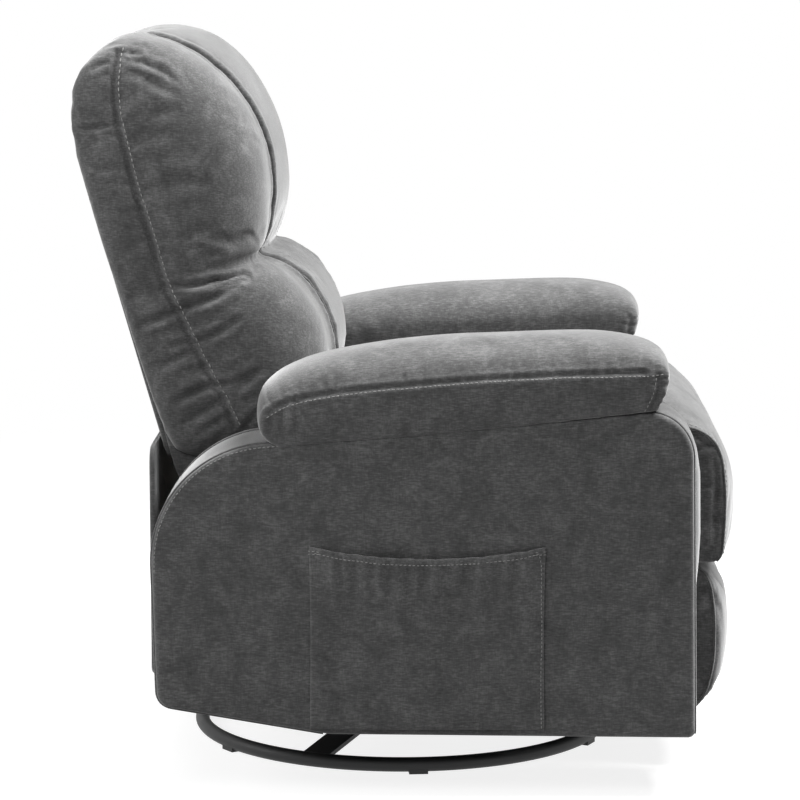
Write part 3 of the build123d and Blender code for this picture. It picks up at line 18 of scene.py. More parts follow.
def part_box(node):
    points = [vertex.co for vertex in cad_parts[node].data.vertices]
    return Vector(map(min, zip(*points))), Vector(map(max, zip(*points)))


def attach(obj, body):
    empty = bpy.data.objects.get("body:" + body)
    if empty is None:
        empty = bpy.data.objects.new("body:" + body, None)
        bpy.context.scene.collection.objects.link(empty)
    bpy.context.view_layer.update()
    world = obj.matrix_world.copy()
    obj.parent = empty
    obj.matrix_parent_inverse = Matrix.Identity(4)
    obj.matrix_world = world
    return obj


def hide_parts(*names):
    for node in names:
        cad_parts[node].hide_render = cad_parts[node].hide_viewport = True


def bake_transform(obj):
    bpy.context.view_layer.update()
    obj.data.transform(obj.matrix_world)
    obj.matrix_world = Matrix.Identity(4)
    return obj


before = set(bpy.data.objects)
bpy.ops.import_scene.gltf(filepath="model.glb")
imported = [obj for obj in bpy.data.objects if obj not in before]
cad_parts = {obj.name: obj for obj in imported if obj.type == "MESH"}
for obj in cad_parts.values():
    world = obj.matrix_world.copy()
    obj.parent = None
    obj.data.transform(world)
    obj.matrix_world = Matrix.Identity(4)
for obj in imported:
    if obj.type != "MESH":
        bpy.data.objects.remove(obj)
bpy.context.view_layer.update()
MM = 0.001

# %% [markdown]
# ## Finishes
#
# Each finish starts from what the real surface is. Colours are written as the
# hex values a colour picker shows, and one function turns them to the linear
# values that the shader works in. One small helper adds a node, so that each
# finish reads as a list of its patterns with their sizes in millimetres.

# %% Colour and node helpers
def linear(code):
    """An sRGB hex colour as linear RGBA."""
    channels = [int(code[k:k + 2], 16) / 255 for k in (1, 3, 5)]
    return (*[c / 12.92 if c <= 0.04045 else ((c + 0.055) / 1.055) ** 2.4 for c in channels], 1.0)


def add_node(tree, kind, inputs=None, **settings):
    """Adds a node, sets its properties, and links or sets its inputs by name or number."""
    node = tree.nodes.new(kind)
    for name, value in settings.items():
        setattr(node, name, value)
    for key, value in (inputs or {}).items():
        if isinstance(value, bpy.types.NodeSocket):
            tree.links.new(value, node.inputs[key])
        else:
            node.inputs[key].default_value = value
    return node


def new_finish(name):
    """An empty material: its node tree, its surface shader and its place on the piece."""
    material = bpy.data.materials.new(name)
    material.use_nodes = True
    tree = material.node_tree
    tree.nodes.clear()
    surface = add_node(tree, "ShaderNodeBsdfPrincipled")
    add_node(tree, "ShaderNodeOutputMaterial", {"Surface": surface.outputs["BSDF"]})
    place = add_node(tree, "ShaderNodeTexCoord").outputs["Object"]
    return material, tree, surface, place


def set_stops(ramp, *stops):
    """Gives a colour ramp its stops, as (position, hex colour)."""
    row = ramp.color_ramp.elements
    while len(row) < len(stops):
        row.new(0.5)
    for stop, (position, code) in zip(row, stops):
        stop.position, stop.color = position, linear(code)


print("helpers ready")

# %% [markdown]
# ### Brushed suede cloth
#
# The cover is a knitted polyester, brushed to a short nap like suede. The nap
# lies differently from patch to patch, so the grey is mottled, and short fibres
# catch the light as fine streaks, more of them level than upright. It has no
# gloss, only a pale bloom where the nap is seen edge on, which is what sheen is
# for.

# %% Suede finish
NAP_PATCH, FIBRE_WIDTH, FIBRE_LENGTH = 38, 2.0, 9   # mm, the fibre drawn coarse enough to show
suede, tree, surface, place = new_finish("brushed_suede_cloth")
patch = add_node(tree, "ShaderNodeTexNoise", {"Vector": place, "Scale": 1 / (NAP_PATCH * MM), "Detail": 5.0,
                                              "Roughness": 0.62, "Distortion": 0.7})
squeeze = FIBRE_WIDTH / FIBRE_LENGTH
level = add_node(tree, "ShaderNodeMapping", {"Vector": place, "Scale": (1.0, squeeze, 1.0)})
upright = add_node(tree, "ShaderNodeMapping", {"Vector": place, "Scale": (1.0, 1.0, squeeze)})
fibre_level = add_node(tree, "ShaderNodeTexNoise", {"Vector": level.outputs["Vector"], "Detail": 2.0,
                                                    "Scale": 1 / (FIBRE_WIDTH * MM), "Roughness": 0.6})
fibre_upright = add_node(tree, "ShaderNodeTexNoise", {"Vector": upright.outputs["Vector"], "Detail": 2.0,
                                                      "Scale": 1 / (FIBRE_WIDTH * MM), "Roughness": 0.6})
LEVEL_SHARE, UPRIGHT_SHARE, PATCH_SHARE = 0.46, 0.2, 0.4   # how much each tells in the tone
tone = add_node(tree, "ShaderNodeMath", {0: fibre_level.outputs["Fac"], 1: LEVEL_SHARE,
                                         2: 0.5 - (LEVEL_SHARE + UPRIGHT_SHARE + PATCH_SHARE) / 2},
                operation="MULTIPLY_ADD")
weave = add_node(tree, "ShaderNodeMath", {0: fibre_upright.outputs["Fac"], 1: UPRIGHT_SHARE,
                                          2: tone.outputs["Value"]}, operation="MULTIPLY_ADD")
shade = add_node(tree, "ShaderNodeMath", {0: patch.outputs["Fac"], 1: PATCH_SHARE, 2: weave.outputs["Value"]},
                 operation="MULTIPLY_ADD")
greys = add_node(tree, "ShaderNodeValToRGB", {"Fac": shade.outputs["Value"]})
set_stops(greys, (0.25, "#2e2e2e"), (0.5, "#555555"), (0.75, "#808080"))
relief = add_node(tree, "ShaderNodeBump", {"Height": shade.outputs["Value"], "Strength": 0.5,
                                           "Distance": 1.0 * MM})
tree.links.new(greys.outputs["Color"], surface.inputs["Base Color"])
tree.links.new(relief.outputs["Normal"], surface.inputs["Normal"])
surface.inputs["Roughness"].default_value = 0.92
surface.inputs["Specular IOR Level"].default_value = 0.2
surface.inputs["Sheen Weight"].default_value = 0.65
surface.inputs["Sheen Roughness"].default_value = 0.5
print("finish:", suede.name, len(tree.nodes), "nodes")

# %% [markdown]
# ### Thread
#
# Thick polyester thread, lighter than the cloth, so that the seams show as
# dotted lines. Its plies twist, which gives it a faint light and dark band.

# %% Thread finish
PLY_TWIST = 1.2   # mm
thread, tree, surface, place = new_finish("polyester_thread")
ply = add_node(tree, "ShaderNodeTexNoise", {"Vector": place, "Scale": 1 / (PLY_TWIST * MM), "Detail": 1.0})
pale = add_node(tree, "ShaderNodeValToRGB", {"Fac": ply.outputs["Fac"]})
set_stops(pale, (0.3, "#7d7d7c"), (0.7, "#a2a2a0"))
tree.links.new(pale.outputs["Color"], surface.inputs["Base Color"])
surface.inputs["Roughness"].default_value = 0.7
surface.inputs["Sheen Weight"].default_value = 0.2
print("finish:", thread.name)

# %% [markdown]
# ### Metals
#
# The base and the linkages are mild steel under black powder coat, which dries
# with a low orange peel and a satin shine. Bolts and pins are bright zinc, with
# cloudy passivation. Springs are drawn wire under a thin film of oil.

# %% Metal finishes
ORANGE_PEEL, DUST_PATCH = 1.6, 30   # mm
black_coat, tree, surface, place = new_finish("powder_coated_steel")
peel = add_node(tree, "ShaderNodeTexNoise", {"Vector": place, "Scale": 1 / (ORANGE_PEEL * MM), "Detail": 2.0})
dust = add_node(tree, "ShaderNodeTexNoise", {"Vector": place, "Scale": 1 / (DUST_PATCH * MM), "Detail": 6.0,
                                             "Roughness": 0.65})
tint = add_node(tree, "ShaderNodeValToRGB", {"Fac": dust.outputs["Fac"]})
set_stops(tint, (0.35, "#0c0d0e"), (0.75, "#18191a"))
satin = add_node(tree, "ShaderNodeMapRange", {"Value": dust.outputs["Fac"], "To Min": 0.45, "To Max": 0.65})
bumps = add_node(tree, "ShaderNodeBump", {"Height": peel.outputs["Fac"], "Strength": 0.25,
                                          "Distance": 0.3 * MM})
tree.links.new(tint.outputs["Color"], surface.inputs["Base Color"])
tree.links.new(satin.outputs["Result"], surface.inputs["Roughness"])
tree.links.new(bumps.outputs["Normal"], surface.inputs["Normal"])

CLOUD = 7   # mm
zinc, tree, surface, place = new_finish("zinc_plated_steel")
cloud = add_node(tree, "ShaderNodeTexNoise", {"Vector": place, "Scale": 1 / (CLOUD * MM), "Detail": 5.0})
tint = add_node(tree, "ShaderNodeValToRGB", {"Fac": cloud.outputs["Fac"]})
set_stops(tint, (0.3, "#a3a8ad"), (0.7, "#c8cac9"))
polish = add_node(tree, "ShaderNodeMapRange", {"Value": cloud.outputs["Fac"], "To Min": 0.25, "To Max": 0.45})
tree.links.new(tint.outputs["Color"], surface.inputs["Base Color"])
tree.links.new(polish.outputs["Result"], surface.inputs["Roughness"])
surface.inputs["Metallic"].default_value = 1.0

DRAW_LINE = 0.9   # mm
wire, tree, surface, place = new_finish("oiled_spring_wire")
film = add_node(tree, "ShaderNodeTexNoise", {"Vector": place, "Scale": 1 / (CLOUD * MM), "Detail": 3.0})
drawn = add_node(tree, "ShaderNodeTexNoise", {"Vector": place, "Scale": 1 / (DRAW_LINE * MM), "Detail": 1.0})
tint = add_node(tree, "ShaderNodeValToRGB", {"Fac": film.outputs["Fac"]})
set_stops(tint, (0.3, "#44474c"), (0.7, "#6a6d70"))
polish = add_node(tree, "ShaderNodeMapRange", {"Value": drawn.outputs["Fac"], "To Min": 0.3, "To Max": 0.5})
tree.links.new(tint.outputs["Color"], surface.inputs["Base Color"])
tree.links.new(polish.outputs["Result"], surface.inputs["Roughness"])
surface.inputs["Metallic"].default_value = 1.0
print("finishes:", black_coat.name, zinc.name, wire.name)

# %% [markdown]
# ### Wood, nylon and webbing
#
# The boxes are birch plywood: pale, with long grain and thin dark glue lines.
# Glides, bushes and clips are moulded black nylon with a dull spark grain. The
# back hangs on elastic webbing, a dark band with ribs across its yarns.

# %% Wood, nylon and webbing finishes
GRAIN_WIDTH, PLY_SHEET = 3, 1.5   # mm
GRAIN_SQUEEZE, GLUE_SHARE = 0.06, 0.2   # the grain drawn out, and the glue lines' part in the tone
plywood, tree, surface, place = new_finish("birch_plywood")
long_way = add_node(tree, "ShaderNodeMapping", {"Vector": place, "Scale": (1.0, GRAIN_SQUEEZE, 1.0)})
grain = add_node(tree, "ShaderNodeTexNoise", {"Vector": long_way.outputs["Vector"], "Detail": 5.0,
                                              "Scale": 1 / (GRAIN_WIDTH * MM), "Distortion": 0.4})
sheets = add_node(tree, "ShaderNodeTexWave", {"Vector": place, "Scale": math.tau / 20 / (PLY_SHEET * MM),
                                              "Distortion": 0.3}, bands_direction="X")
lines = add_node(tree, "ShaderNodeMath", {0: sheets.outputs["Fac"], 1: GLUE_SHARE, 2: grain.outputs["Fac"]},
                 operation="MULTIPLY_ADD")
tint = add_node(tree, "ShaderNodeValToRGB", {"Fac": lines.outputs["Value"]})
set_stops(tint, (0.35, "#a9824f"), (0.8, "#dcbf92"))
tree.links.new(tint.outputs["Color"], surface.inputs["Base Color"])
surface.inputs["Roughness"].default_value = 0.62

SPARK = 0.8   # mm
nylon, tree, surface, place = new_finish("moulded_black_nylon")
spark = add_node(tree, "ShaderNodeTexNoise", {"Vector": place, "Scale": 1 / (SPARK * MM), "Detail": 2.0})
tint = add_node(tree, "ShaderNodeValToRGB", {"Fac": spark.outputs["Fac"]})
set_stops(tint, (0.3, "#151516"), (0.75, "#242425"))
grit = add_node(tree, "ShaderNodeBump", {"Height": spark.outputs["Fac"], "Strength": 0.3,
                                         "Distance": 0.2 * MM})
tree.links.new(tint.outputs["Color"], surface.inputs["Base Color"])
tree.links.new(grit.outputs["Normal"], surface.inputs["Normal"])
surface.inputs["Roughness"].default_value = 0.55

RIB = 2.4   # mm
elastic, tree, surface, place = new_finish("woven_elastic_webbing")
ribs = add_node(tree, "ShaderNodeTexWave", {"Vector": place, "Scale": math.tau / 20 / (RIB * MM),
                                            "Distortion": 0.5, "Detail": 1.0}, bands_direction="Z")
yarn = add_node(tree, "ShaderNodeTexWave", {"Vector": place, "Scale": math.tau / 20 / (RIB * MM),
                                            "Distortion": 0.5, "Detail": 1.0}, bands_direction="X")
weave = add_node(tree, "ShaderNodeMath", {0: ribs.outputs["Fac"], 1: yarn.outputs["Fac"]},
                 operation="MULTIPLY")
tint = add_node(tree, "ShaderNodeValToRGB", {"Fac": weave.outputs["Value"]})
set_stops(tint, (0.1, "#201e1c"), (0.8, "#5b554c"))
raised = add_node(tree, "ShaderNodeBump", {"Height": weave.outputs["Value"], "Strength": 0.5,
                                           "Distance": 0.4 * MM})
tree.links.new(tint.outputs["Color"], surface.inputs["Base Color"])
tree.links.new(raised.outputs["Normal"], surface.inputs["Normal"])
surface.inputs["Roughness"].default_value = 0.8
print("finishes:", plywood.name, nylon.name, elastic.name)

# %% [markdown]
# ## The solids that stay
#
# Steel, wood and nylon solids have their true shapes already. They only change
# their finish, found by the material slot that each one brought along.

# %% Dress the rigid solids
FINISH_OF_SLOT = {"black_steel": black_coat, "zinc_steel": zinc, "plywood": plywood,
                  "nylon": nylon, "webbing": elastic, "suede_fabric": suede}
WIRE_NODES = ("rocker_springs", "seat_springs")
for name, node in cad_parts.items():
    for slot in node.material_slots:
        slot_name = slot.material.name.split(".")[0]
        slot.material = wire if name in WIRE_NODES else FINISH_OF_SLOT[slot_name]
print("dressed", len(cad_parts), "solids")

# %% [markdown]
# ## Camera, floor and light
#
# The camera was fitted to the photograph: a long lens four and a half metres
# off the sitter's right side, looking down by eight degrees. The studio is one
# pale floor that fades into a white surround. A large soft lamp hangs high
# before the chair and another above its left side, with a small one beside the
# head and a weak one behind.

# %% Camera
LENS_PIXELS, FRAME_PIXELS, SENSOR = 3142, 800, 36
CAMERA_PLACE, CAMERA_PITCH, CAMERA_TURN = (-4.474, -0.069, 1.111), math.radians(8.10), math.radians(0.92)


def add_object(name, data):
    """A new object in the scene."""
    thing = bpy.data.objects.new(name, data)
    bpy.context.scene.collection.objects.link(thing)
    return thing


def aim_at(thing, way):
    """Turns a camera or a lamp to look along a direction."""
    thing.rotation_euler = way.to_track_quat("-Z", "Y").to_euler()


camera = add_object("photo_camera", bpy.data.cameras.new("photo_camera"))
camera.data.sensor_width = SENSOR
camera.data.lens = LENS_PIXELS / FRAME_PIXELS * SENSOR
camera.location = CAMERA_PLACE
flat = math.cos(CAMERA_PITCH)
aim_at(camera, Vector((flat * math.cos(CAMERA_TURN), flat * math.sin(CAMERA_TURN), -math.sin(CAMERA_PITCH))))
bpy.context.scene.camera = camera
bpy.context.scene.view_settings.view_transform = "Standard"
print("lens", round(camera.data.lens, 1), "mm")

# %% Floor that fades into the surround
FLOOR_RADIUS, FADE_FROM, FADE_TO = 3.2, 1.1, 3.04   # m
FLOOR_LIFT = 0.84   # how much paler it looks than its light makes it


def seen_share(tree):
    """One where the camera sees it, straight or in a shine, and nought where it only lights the chair."""
    path = add_node(tree, "ShaderNodeLightPath").outputs
    seen = add_node(tree, "ShaderNodeMath", {0: path["Is Camera Ray"], 1: path["Is Glossy Ray"]},
                    operation="MAXIMUM")
    seen_too = add_node(tree, "ShaderNodeMath", {0: seen.outputs["Value"], 1: path["Is Transmission Ray"]},
                        operation="MAXIMUM")
    return seen_too.outputs["Value"]


disc = bmesh.new()
bmesh.ops.create_circle(disc, cap_ends=True, segments=96, radius=FLOOR_RADIUS)
floor = add_object("studio_floor", bpy.data.meshes.new("studio_floor"))
disc.to_mesh(floor.data)
disc.free()
paper, tree, surface, place = new_finish("matt_paper_floor")
surface.inputs["Base Color"].default_value = linear("#989898")
surface.inputs["Roughness"].default_value = 0.9
lift = add_node(tree, "ShaderNodeMath", {0: seen_share(tree), 1: FLOOR_LIFT}, operation="MULTIPLY")
glow = add_node(tree, "ShaderNodeEmission", {"Strength": lift.outputs["Value"]})
lit = add_node(tree, "ShaderNodeAddShader", {0: surface.outputs["BSDF"], 1: glow.outputs["Emission"]})
out = add_node(tree, "ShaderNodeVectorMath", {0: place}, operation="LENGTH")
fade = add_node(tree, "ShaderNodeMapRange", {"Value": out.outputs["Value"], "From Min": FADE_FROM,
                                             "From Max": FADE_TO}, interpolation_type="SMOOTHSTEP")
clear = add_node(tree, "ShaderNodeBsdfTransparent")
faded = add_node(tree, "ShaderNodeMixShader", {0: fade.outputs["Result"], 1: lit.outputs["Shader"],
                                               2: clear.outputs["BSDF"]})
tree.links.new(faded.outputs["Shader"], tree.nodes["Material Output"].inputs["Surface"])
floor.data.materials.append(paper)
print("floor", FLOOR_RADIUS, "m in radius")

# %% Surround and lamps
AMBIENT = 0.07   # the light of the white surround on the chair, where the camera sees it as 1
LAMPS_FACE = Vector((0, 0, 0.6))   # m
# Each lamp: its name, its place and its side in m, and its power in W
LAMPS = (("key_before_chair", (0.1, -1.7, 3.2), 1.5, 238), ("soft_box_above", (1.4, -0.2, 3.0), 2.0, 46),
         ("fill_beside_head", (-1.5, 0.7, 1.9), 0.9, 13), ("rim_behind", (-0.8, 2.7, 1.8), 1.6, 40))
world = bpy.data.worlds.new("white_surround")
bpy.context.scene.world = world
world.use_nodes = True
tree = world.node_tree
tree.nodes.clear()
strength = add_node(tree, "ShaderNodeMapRange", {"Value": seen_share(tree), "To Min": AMBIENT, "To Max": 1.0})
backdrop = add_node(tree, "ShaderNodeBackground", {"Strength": strength.outputs["Result"],
                                                   "Color": (1.0, 1.0, 1.0, 1.0)})
add_node(tree, "ShaderNodeOutputWorld", {"Surface": backdrop.outputs["Background"]})
for name, spot, size, watts in LAMPS:
    lamp = add_object(name, bpy.data.lights.new(name, "AREA"))
    lamp.data.size, lamp.data.energy = size, watts
    lamp.location = spot
    aim_at(lamp, LAMPS_FACE - Vector(spot))
print("world and", len(LAMPS), "lamps")

# %% [markdown]
# ## Lines, rings and skins
#
# All the soft pieces start from a few measured outlines. Lengths are in
# millimetres here: x across, u forward and z up, or for the back, w forward of
# its rear face and s up along its lean. One function turns them to the frame.

# %% Line and skin helpers
LEAN = math.radians(16)
BACK_FOOT = (-331, 468)


def to_frame(points):
    """Millimetre points (x, forward, up) as metres in the frame, where forward is -Y."""
    p = np.asarray(points, float)
    return np.stack([p[..., 0], -p[..., 1], p[..., 2]], axis=-1) * MM


def from_frame(points):
    """Metres in the frame as millimetre points (x, forward, up)."""
    p = np.asarray(points, float)
    return np.stack([p[..., 0], -p[..., 1], p[..., 2]], axis=-1) / MM


def on_back(x, w, s):
    """A point of the leaning back, w mm before its rear face and s mm up along it."""
    x, w, s = np.broadcast_arrays(*(np.asarray(v, float) for v in (x, w, s)))
    return np.stack([x, BACK_FOOT[0] + w * math.cos(LEAN) - s * math.sin(LEAN),
                     BACK_FOOT[1] + w * math.sin(LEAN) + s * math.cos(LEAN)], axis=-1)


def spread(line, step=None, count=None):
    """Points spaced evenly along a line, by step or by count."""
    line = np.asarray(line, float)
    along = np.r_[0, np.cumsum(np.linalg.norm(np.diff(line, axis=0), axis=1))]
    count = count or max(2, round(along[-1] / step) + 1)
    where = np.linspace(0, along[-1], count)
    return np.stack([np.interp(where, along, column) for column in line.T], axis=1)


def smooth_line(points, step=None, count=None):
    """An even row of points on a smooth line through the given ones."""
    p = np.asarray(points, float)
    p = np.vstack([2 * p[0] - p[1], p, 2 * p[-1] - p[-2]])
    t = np.linspace(0, 1, 16, endpoint=False)[:, None]
    runs = [0.5 * (2 * b + (c - a) * t + (2 * a - 5 * b + 4 * c - d) * t ** 2
                   + (3 * b - a - 3 * c + d) * t ** 3)
            for a, b, c, d in zip(p, p[1:], p[2:], p[3:])]
    return spread(np.vstack(runs + [p[-2:-1]]), step, count)


def ring_skin(rings):
    """Points and faces over a stack of closed rings, with both ends closed by a fan."""
    rings = np.asarray(rings)
    levels, n = rings.shape[:2]
    points = np.vstack([rings.reshape(-1, 3), rings[0].mean(0), rings[-1].mean(0)])
    faces = [(i * n + j, i * n + (j + 1) % n, (i + 1) * n + (j + 1) % n, (i + 1) * n + j)
             for i in range(levels - 1) for j in range(n)]
    last = (levels - 1) * n
    faces += [(levels * n, (j + 1) % n, j) for j in range(n)]
    faces += [(levels * n + 1, last + j, last + (j + 1) % n) for j in range(n)]
    return points, faces


def new_piece(name, points, faces, finish):
    """A smooth mesh object at the origin, its faces turned outwards."""
    mesh = bpy.data.meshes.new(name)
    mesh.from_pydata(to_frame(points).tolist(), [], [tuple(int(i) for i in face) for face in faces])
    shape = bmesh.new()
    shape.from_mesh(mesh)
    bmesh.ops.remove_doubles(shape, verts=shape.verts, dist=0.02 * MM)
    bmesh.ops.recalc_face_normals(shape, faces=shape.faces)
    shape.to_mesh(mesh)
    shape.free()
    mesh.shade_smooth()
    mesh.materials.append(finish)
    return add_object(name, mesh)


print("back leans", round(math.degrees(LEAN)), "degrees from", BACK_FOOT)

# %% [markdown]
# ## Stuffing a cushion
#
# A cushion is cloth round a filling that pushes outwards, held in where it is
# sewn down. So each cover starts a little slim, gets an even mesh by voxel
# remesh, and is blown up by the cloth solver with its sewn parts pinned. A bit
# of spare cloth makes the soft wrinkles beside the seams. How far a point may
# move is capped, and then one subdivision smooths the skin.

# %% Stuffing helper
STUFF_FRAMES, PRESSURE = 20, 4.0   # how long the filling pushes, and how hard
SOFT_REACH = 6.0   # mm over which the cloth comes to a stop


def read_rows(mesh, kind):
    """A value of each point, "co" or "normal", as rows (x, forward, up) counted in millimetres."""
    flat = np.empty(len(mesh.vertices) * 3, np.float32)
    mesh.vertices.foreach_get(kind, flat)
    return from_frame(flat.reshape(-1, 3))


def read_points(mesh):
    """The mesh's points in millimetres."""
    return read_rows(mesh, "co")


def write_points(mesh, points):
    """Sets the mesh's points from millimetres."""
    mesh.vertices.foreach_set("co", to_frame(points).astype(np.float32).ravel())
    mesh.update()


def bake(piece):
    """Turns the piece's modifiers into plain mesh."""
    graph = bpy.context.evaluated_depsgraph_get()
    mesh = bpy.data.meshes.new_from_object(piece.evaluated_get(graph))
    piece.modifiers.clear()
    piece.data = mesh
    mesh.shade_smooth()
    return mesh


def blow_up(piece, held, cap, spare):
    """Lets the filling push the cloth out where it isn't held, by no more than cap mm."""
    start = read_points(piece.data)
    piece.vertex_groups.new(name="sewn").add(held.tolist(), 1.0, "REPLACE")
    cloth = piece.modifiers.new("cover", "CLOTH")
    setup = cloth.settings
    setup.quality, setup.mass = 5, 0.3
    setup.tension_stiffness = setup.compression_stiffness = 15
    setup.shear_stiffness, setup.bending_stiffness = 5, 0.6
    setup.use_pressure, setup.uniform_pressure_force = True, PRESSURE
    setup.effector_weights.gravity = 0
    setup.vertex_group_mass = "sewn"
    setup.shrink_min = -spare
    cloth.collision_settings.use_collision = False
    scene = bpy.context.scene
    for step in range(1, STUFF_FRAMES + 1):
        scene.frame_set(step)
    moved = read_points(bake(piece)) - start
    scene.frame_set(1)
    far = np.maximum(np.linalg.norm(moved, axis=1), 1e-6)[:, None]
    moved *= cap * np.tanh(far / cap) / far
    piece.vertex_groups.clear()
    write_points(piece.data, start + moved)
    return float(np.percentile(np.linalg.norm(moved, axis=1), 90))


def stuff(piece, sewn, cap, reach=None, voxel=5.0, spare=0.02):
    """Fills a cover: sewn(points) says which points are held, cap is the most that one may move,
    and reach(points) is how far from the middle of the chair each may stand."""
    remesh = piece.modifiers.new("even_mesh", "REMESH")
    remesh.mode, remesh.voxel_size, remesh.use_smooth_shade = "VOXEL", voxel * MM, True
    held = np.flatnonzero(sewn(read_points(bake(piece))))
    swell = blow_up(piece, held, cap, spare)
    if reach:
        points = read_points(piece.data)
        x, bend = points[:, 0], reach(points) - SOFT_REACH
        over = np.maximum(np.abs(x) - bend, 0)
        points[:, 0] = np.where(over > 0, np.sign(x) * (bend + SOFT_REACH * np.tanh(over / SOFT_REACH)), x)
        write_points(piece.data, points)
    finer = piece.modifiers.new("finer", "SUBSURF")
    finer.levels = finer.render_levels = 1
    bake(piece)
    print(piece.name, "stuffed:", len(piece.data.vertices), "points,", len(held), "held, swell",
          round(swell, 1), "mm")


print("stuffing helper ready, simulation", "on")

# %% [markdown]
# ## Seams and creases
#
# A seam pulls the skin down in a narrow valley, and the cloth beside it rises a
# little. A crease does the same but fades out at its ends. Both are pressed
# into the finished skin along a line that lies on it.

# %% Crease helpers
LINE_STEP, LINE_SOFTENING = 3.0, 4   # mm between the points of a seam, and rounds of smoothing on the skin


def lay_on(piece, line, lift=0.0):
    """Moves a line to the nearest skin of a piece, and lift mm off it."""
    bpy.context.view_layer.update()
    laid = []
    for spot in to_frame(line):
        _, found, normal, _ = piece.closest_point_on_mesh(Vector(spot))
        laid.append(found + normal * lift * MM)
    laid = from_frame(np.array(laid))
    for _ in range(LINE_SOFTENING):
        laid[1:-1] = (laid[:-2] + 2 * laid[1:-1] + laid[2:]) / 4
    return laid


def near_line(points, line, margin):
    """Which points lie about a line, the nearest of its own points to each, and how far off that is."""
    near = np.flatnonzero(np.all((points > line.min(0) - margin) & (points < line.max(0) + margin), axis=1))
    gaps = np.linalg.norm(points[near, None, :] - line[None], axis=2)
    best = gaps.argmin(1)
    return near, best, gaps[np.arange(len(near)), best]


def sink(piece, points, near, depth):
    """Moves some points in along their normals, each by its own depth."""
    points[near] -= (read_rows(piece.data, "normal") * MM)[near] * depth[:, None]
    write_points(piece.data, points)


def press(piece, line, depth, width, lip=0.3, fade=True):
    """Sinks a crease along a line, with raised lips beside it."""
    points, line = read_points(piece.data), spread(line, step=LINE_STEP)
    t = np.linspace(0, 1, len(line))
    strength = np.sin(np.pi * t) ** 0.6 if fade else np.ones(len(line))
    near, best, d = near_line(points, line, 4 * width)
    valley = np.exp(-(d / width) ** 2) - lip * np.exp(-((d - 2.2 * width) / (1.2 * width)) ** 2)
    sink(piece, points, near, depth * strength[best] * valley)


def pucker(piece, line, depth, length, pitch, seed, below=1.0):
    """Small gathers that run away from a seam; below is the share of them on its lower side."""
    points, line = read_points(piece.data), spread(line, step=LINE_STEP)
    dice = np.random.default_rng(seed)
    along = np.arange(len(line)) * LINE_STEP
    ripple = np.zeros(len(line))
    for centre in np.arange(0, along[-1], pitch):
        spot, half = centre + dice.uniform(-0.4, 0.4) * pitch, pitch * dice.uniform(0.16, 0.3)
        ripple += dice.uniform(0.3, 1.0) * np.exp(-((along - spot) / half) ** 2)
    near, best, d = near_line(points, line, 2 * length)
    share = np.where(points[near, 2] < line[best, 2], below, 1.0)
    fall = np.clip(d / 6, 0, 1) * np.exp(-(d / length) ** 1.5) * share
    sink(piece, points, near, depth * ripple[best] * fall)


print("crease helpers ready")

# %% [markdown]
# ## Back cushions
#
# The back is two stuffed lumps, one above the other, pinched where they meet.
# Each is sewn from three upright panels, so two deep seams run up its front.
# A level slice is simple to describe: a flat rear, rounded flanks and a front
# of three swells. At each side a soft lobe goes on past the flank's seam and
# covers the frame. So each lump is a stack of such slices up the back.

# %% Slices of a back cushion
SEAM_X, FLANK_ROLL, LOBE_INNER = 140, 92, 228   # mm
CREST = 0.38   # where a side swell is fullest, as a share of its width
FRONT_POINTS, REAR_POINTS = 80, 31   # of half a slice


def back_slice(half, rear, side, seam, middle, lobe):
    """One closed slice (x, w): a front of three swells, the flank, its lobe by the frame, and the rear."""
    roll = min(FLANK_ROLL, 0.62 * (side - rear))
    a = np.linspace(0, 1, 24)
    turn = a * np.pi / 2
    inner = np.stack([a * SEAM_X, seam + (middle - seam) * (1 - a ** 2) ** 0.6], 1)
    rise = np.stack([SEAM_X + a * CREST * (half - SEAM_X), seam + (side - seam) * np.sin(turn) ** 0.8], 1)
    out = half - SEAM_X - CREST * (half - SEAM_X)
    fall = np.stack([half - out + out * np.sin(turn), side - roll * (1 - np.cos(turn))], 1)
    corner = min(12, 0.3 * (side - lobe))
    bend = np.stack([half - corner * (1 - np.cos(turn)), lobe + corner * (1 - np.sin(turn))], 1)
    edge = min(LOBE_INNER, half - corner - 1)
    front = spread(np.vstack([inner, rise[1:], fall[1:], bend[:1]]), count=FRONT_POINTS)
    behind = spread(np.vstack([bend, [(edge, lobe), (edge, rear), (0, rear)]]), count=REAR_POINTS)
    right = np.vstack([front, behind[1:]])
    return np.vstack([right, (right[1:-1] * (-1, 1))[::-1]])


def back_cushion(name, levels, lines):
    """A stack of slices at some levels s; lines give half, rear, side, seam, middle and lobe against s."""
    rings = []
    for s in levels:
        sizes = [np.interp(s, line[:, 0], line[:, 1]) for line in lines]
        outline = back_slice(*sizes)
        rings.append(on_back(outline[:, 0], outline[:, 1], s))
    return new_piece(name, *ring_skin(rings), suede)


def back_place(points):
    """Millimetre points as (x, w, s) of the leaning back."""
    u, z = points[:, 1] - BACK_FOOT[0], points[:, 2] - BACK_FOOT[1]
    return (points[:, 0], u * math.cos(LEAN) + z * math.sin(LEAN), z * math.cos(LEAN) - u * math.sin(LEAN))


print("slices of", FLANK_ROLL, "mm flank roll, seams at", SEAM_X)

# %% Head and lumbar cushions
PINCH, BACK_LOW, BACK_HIGH = 186, -58, 523   # s of the pinch, the foot and the top
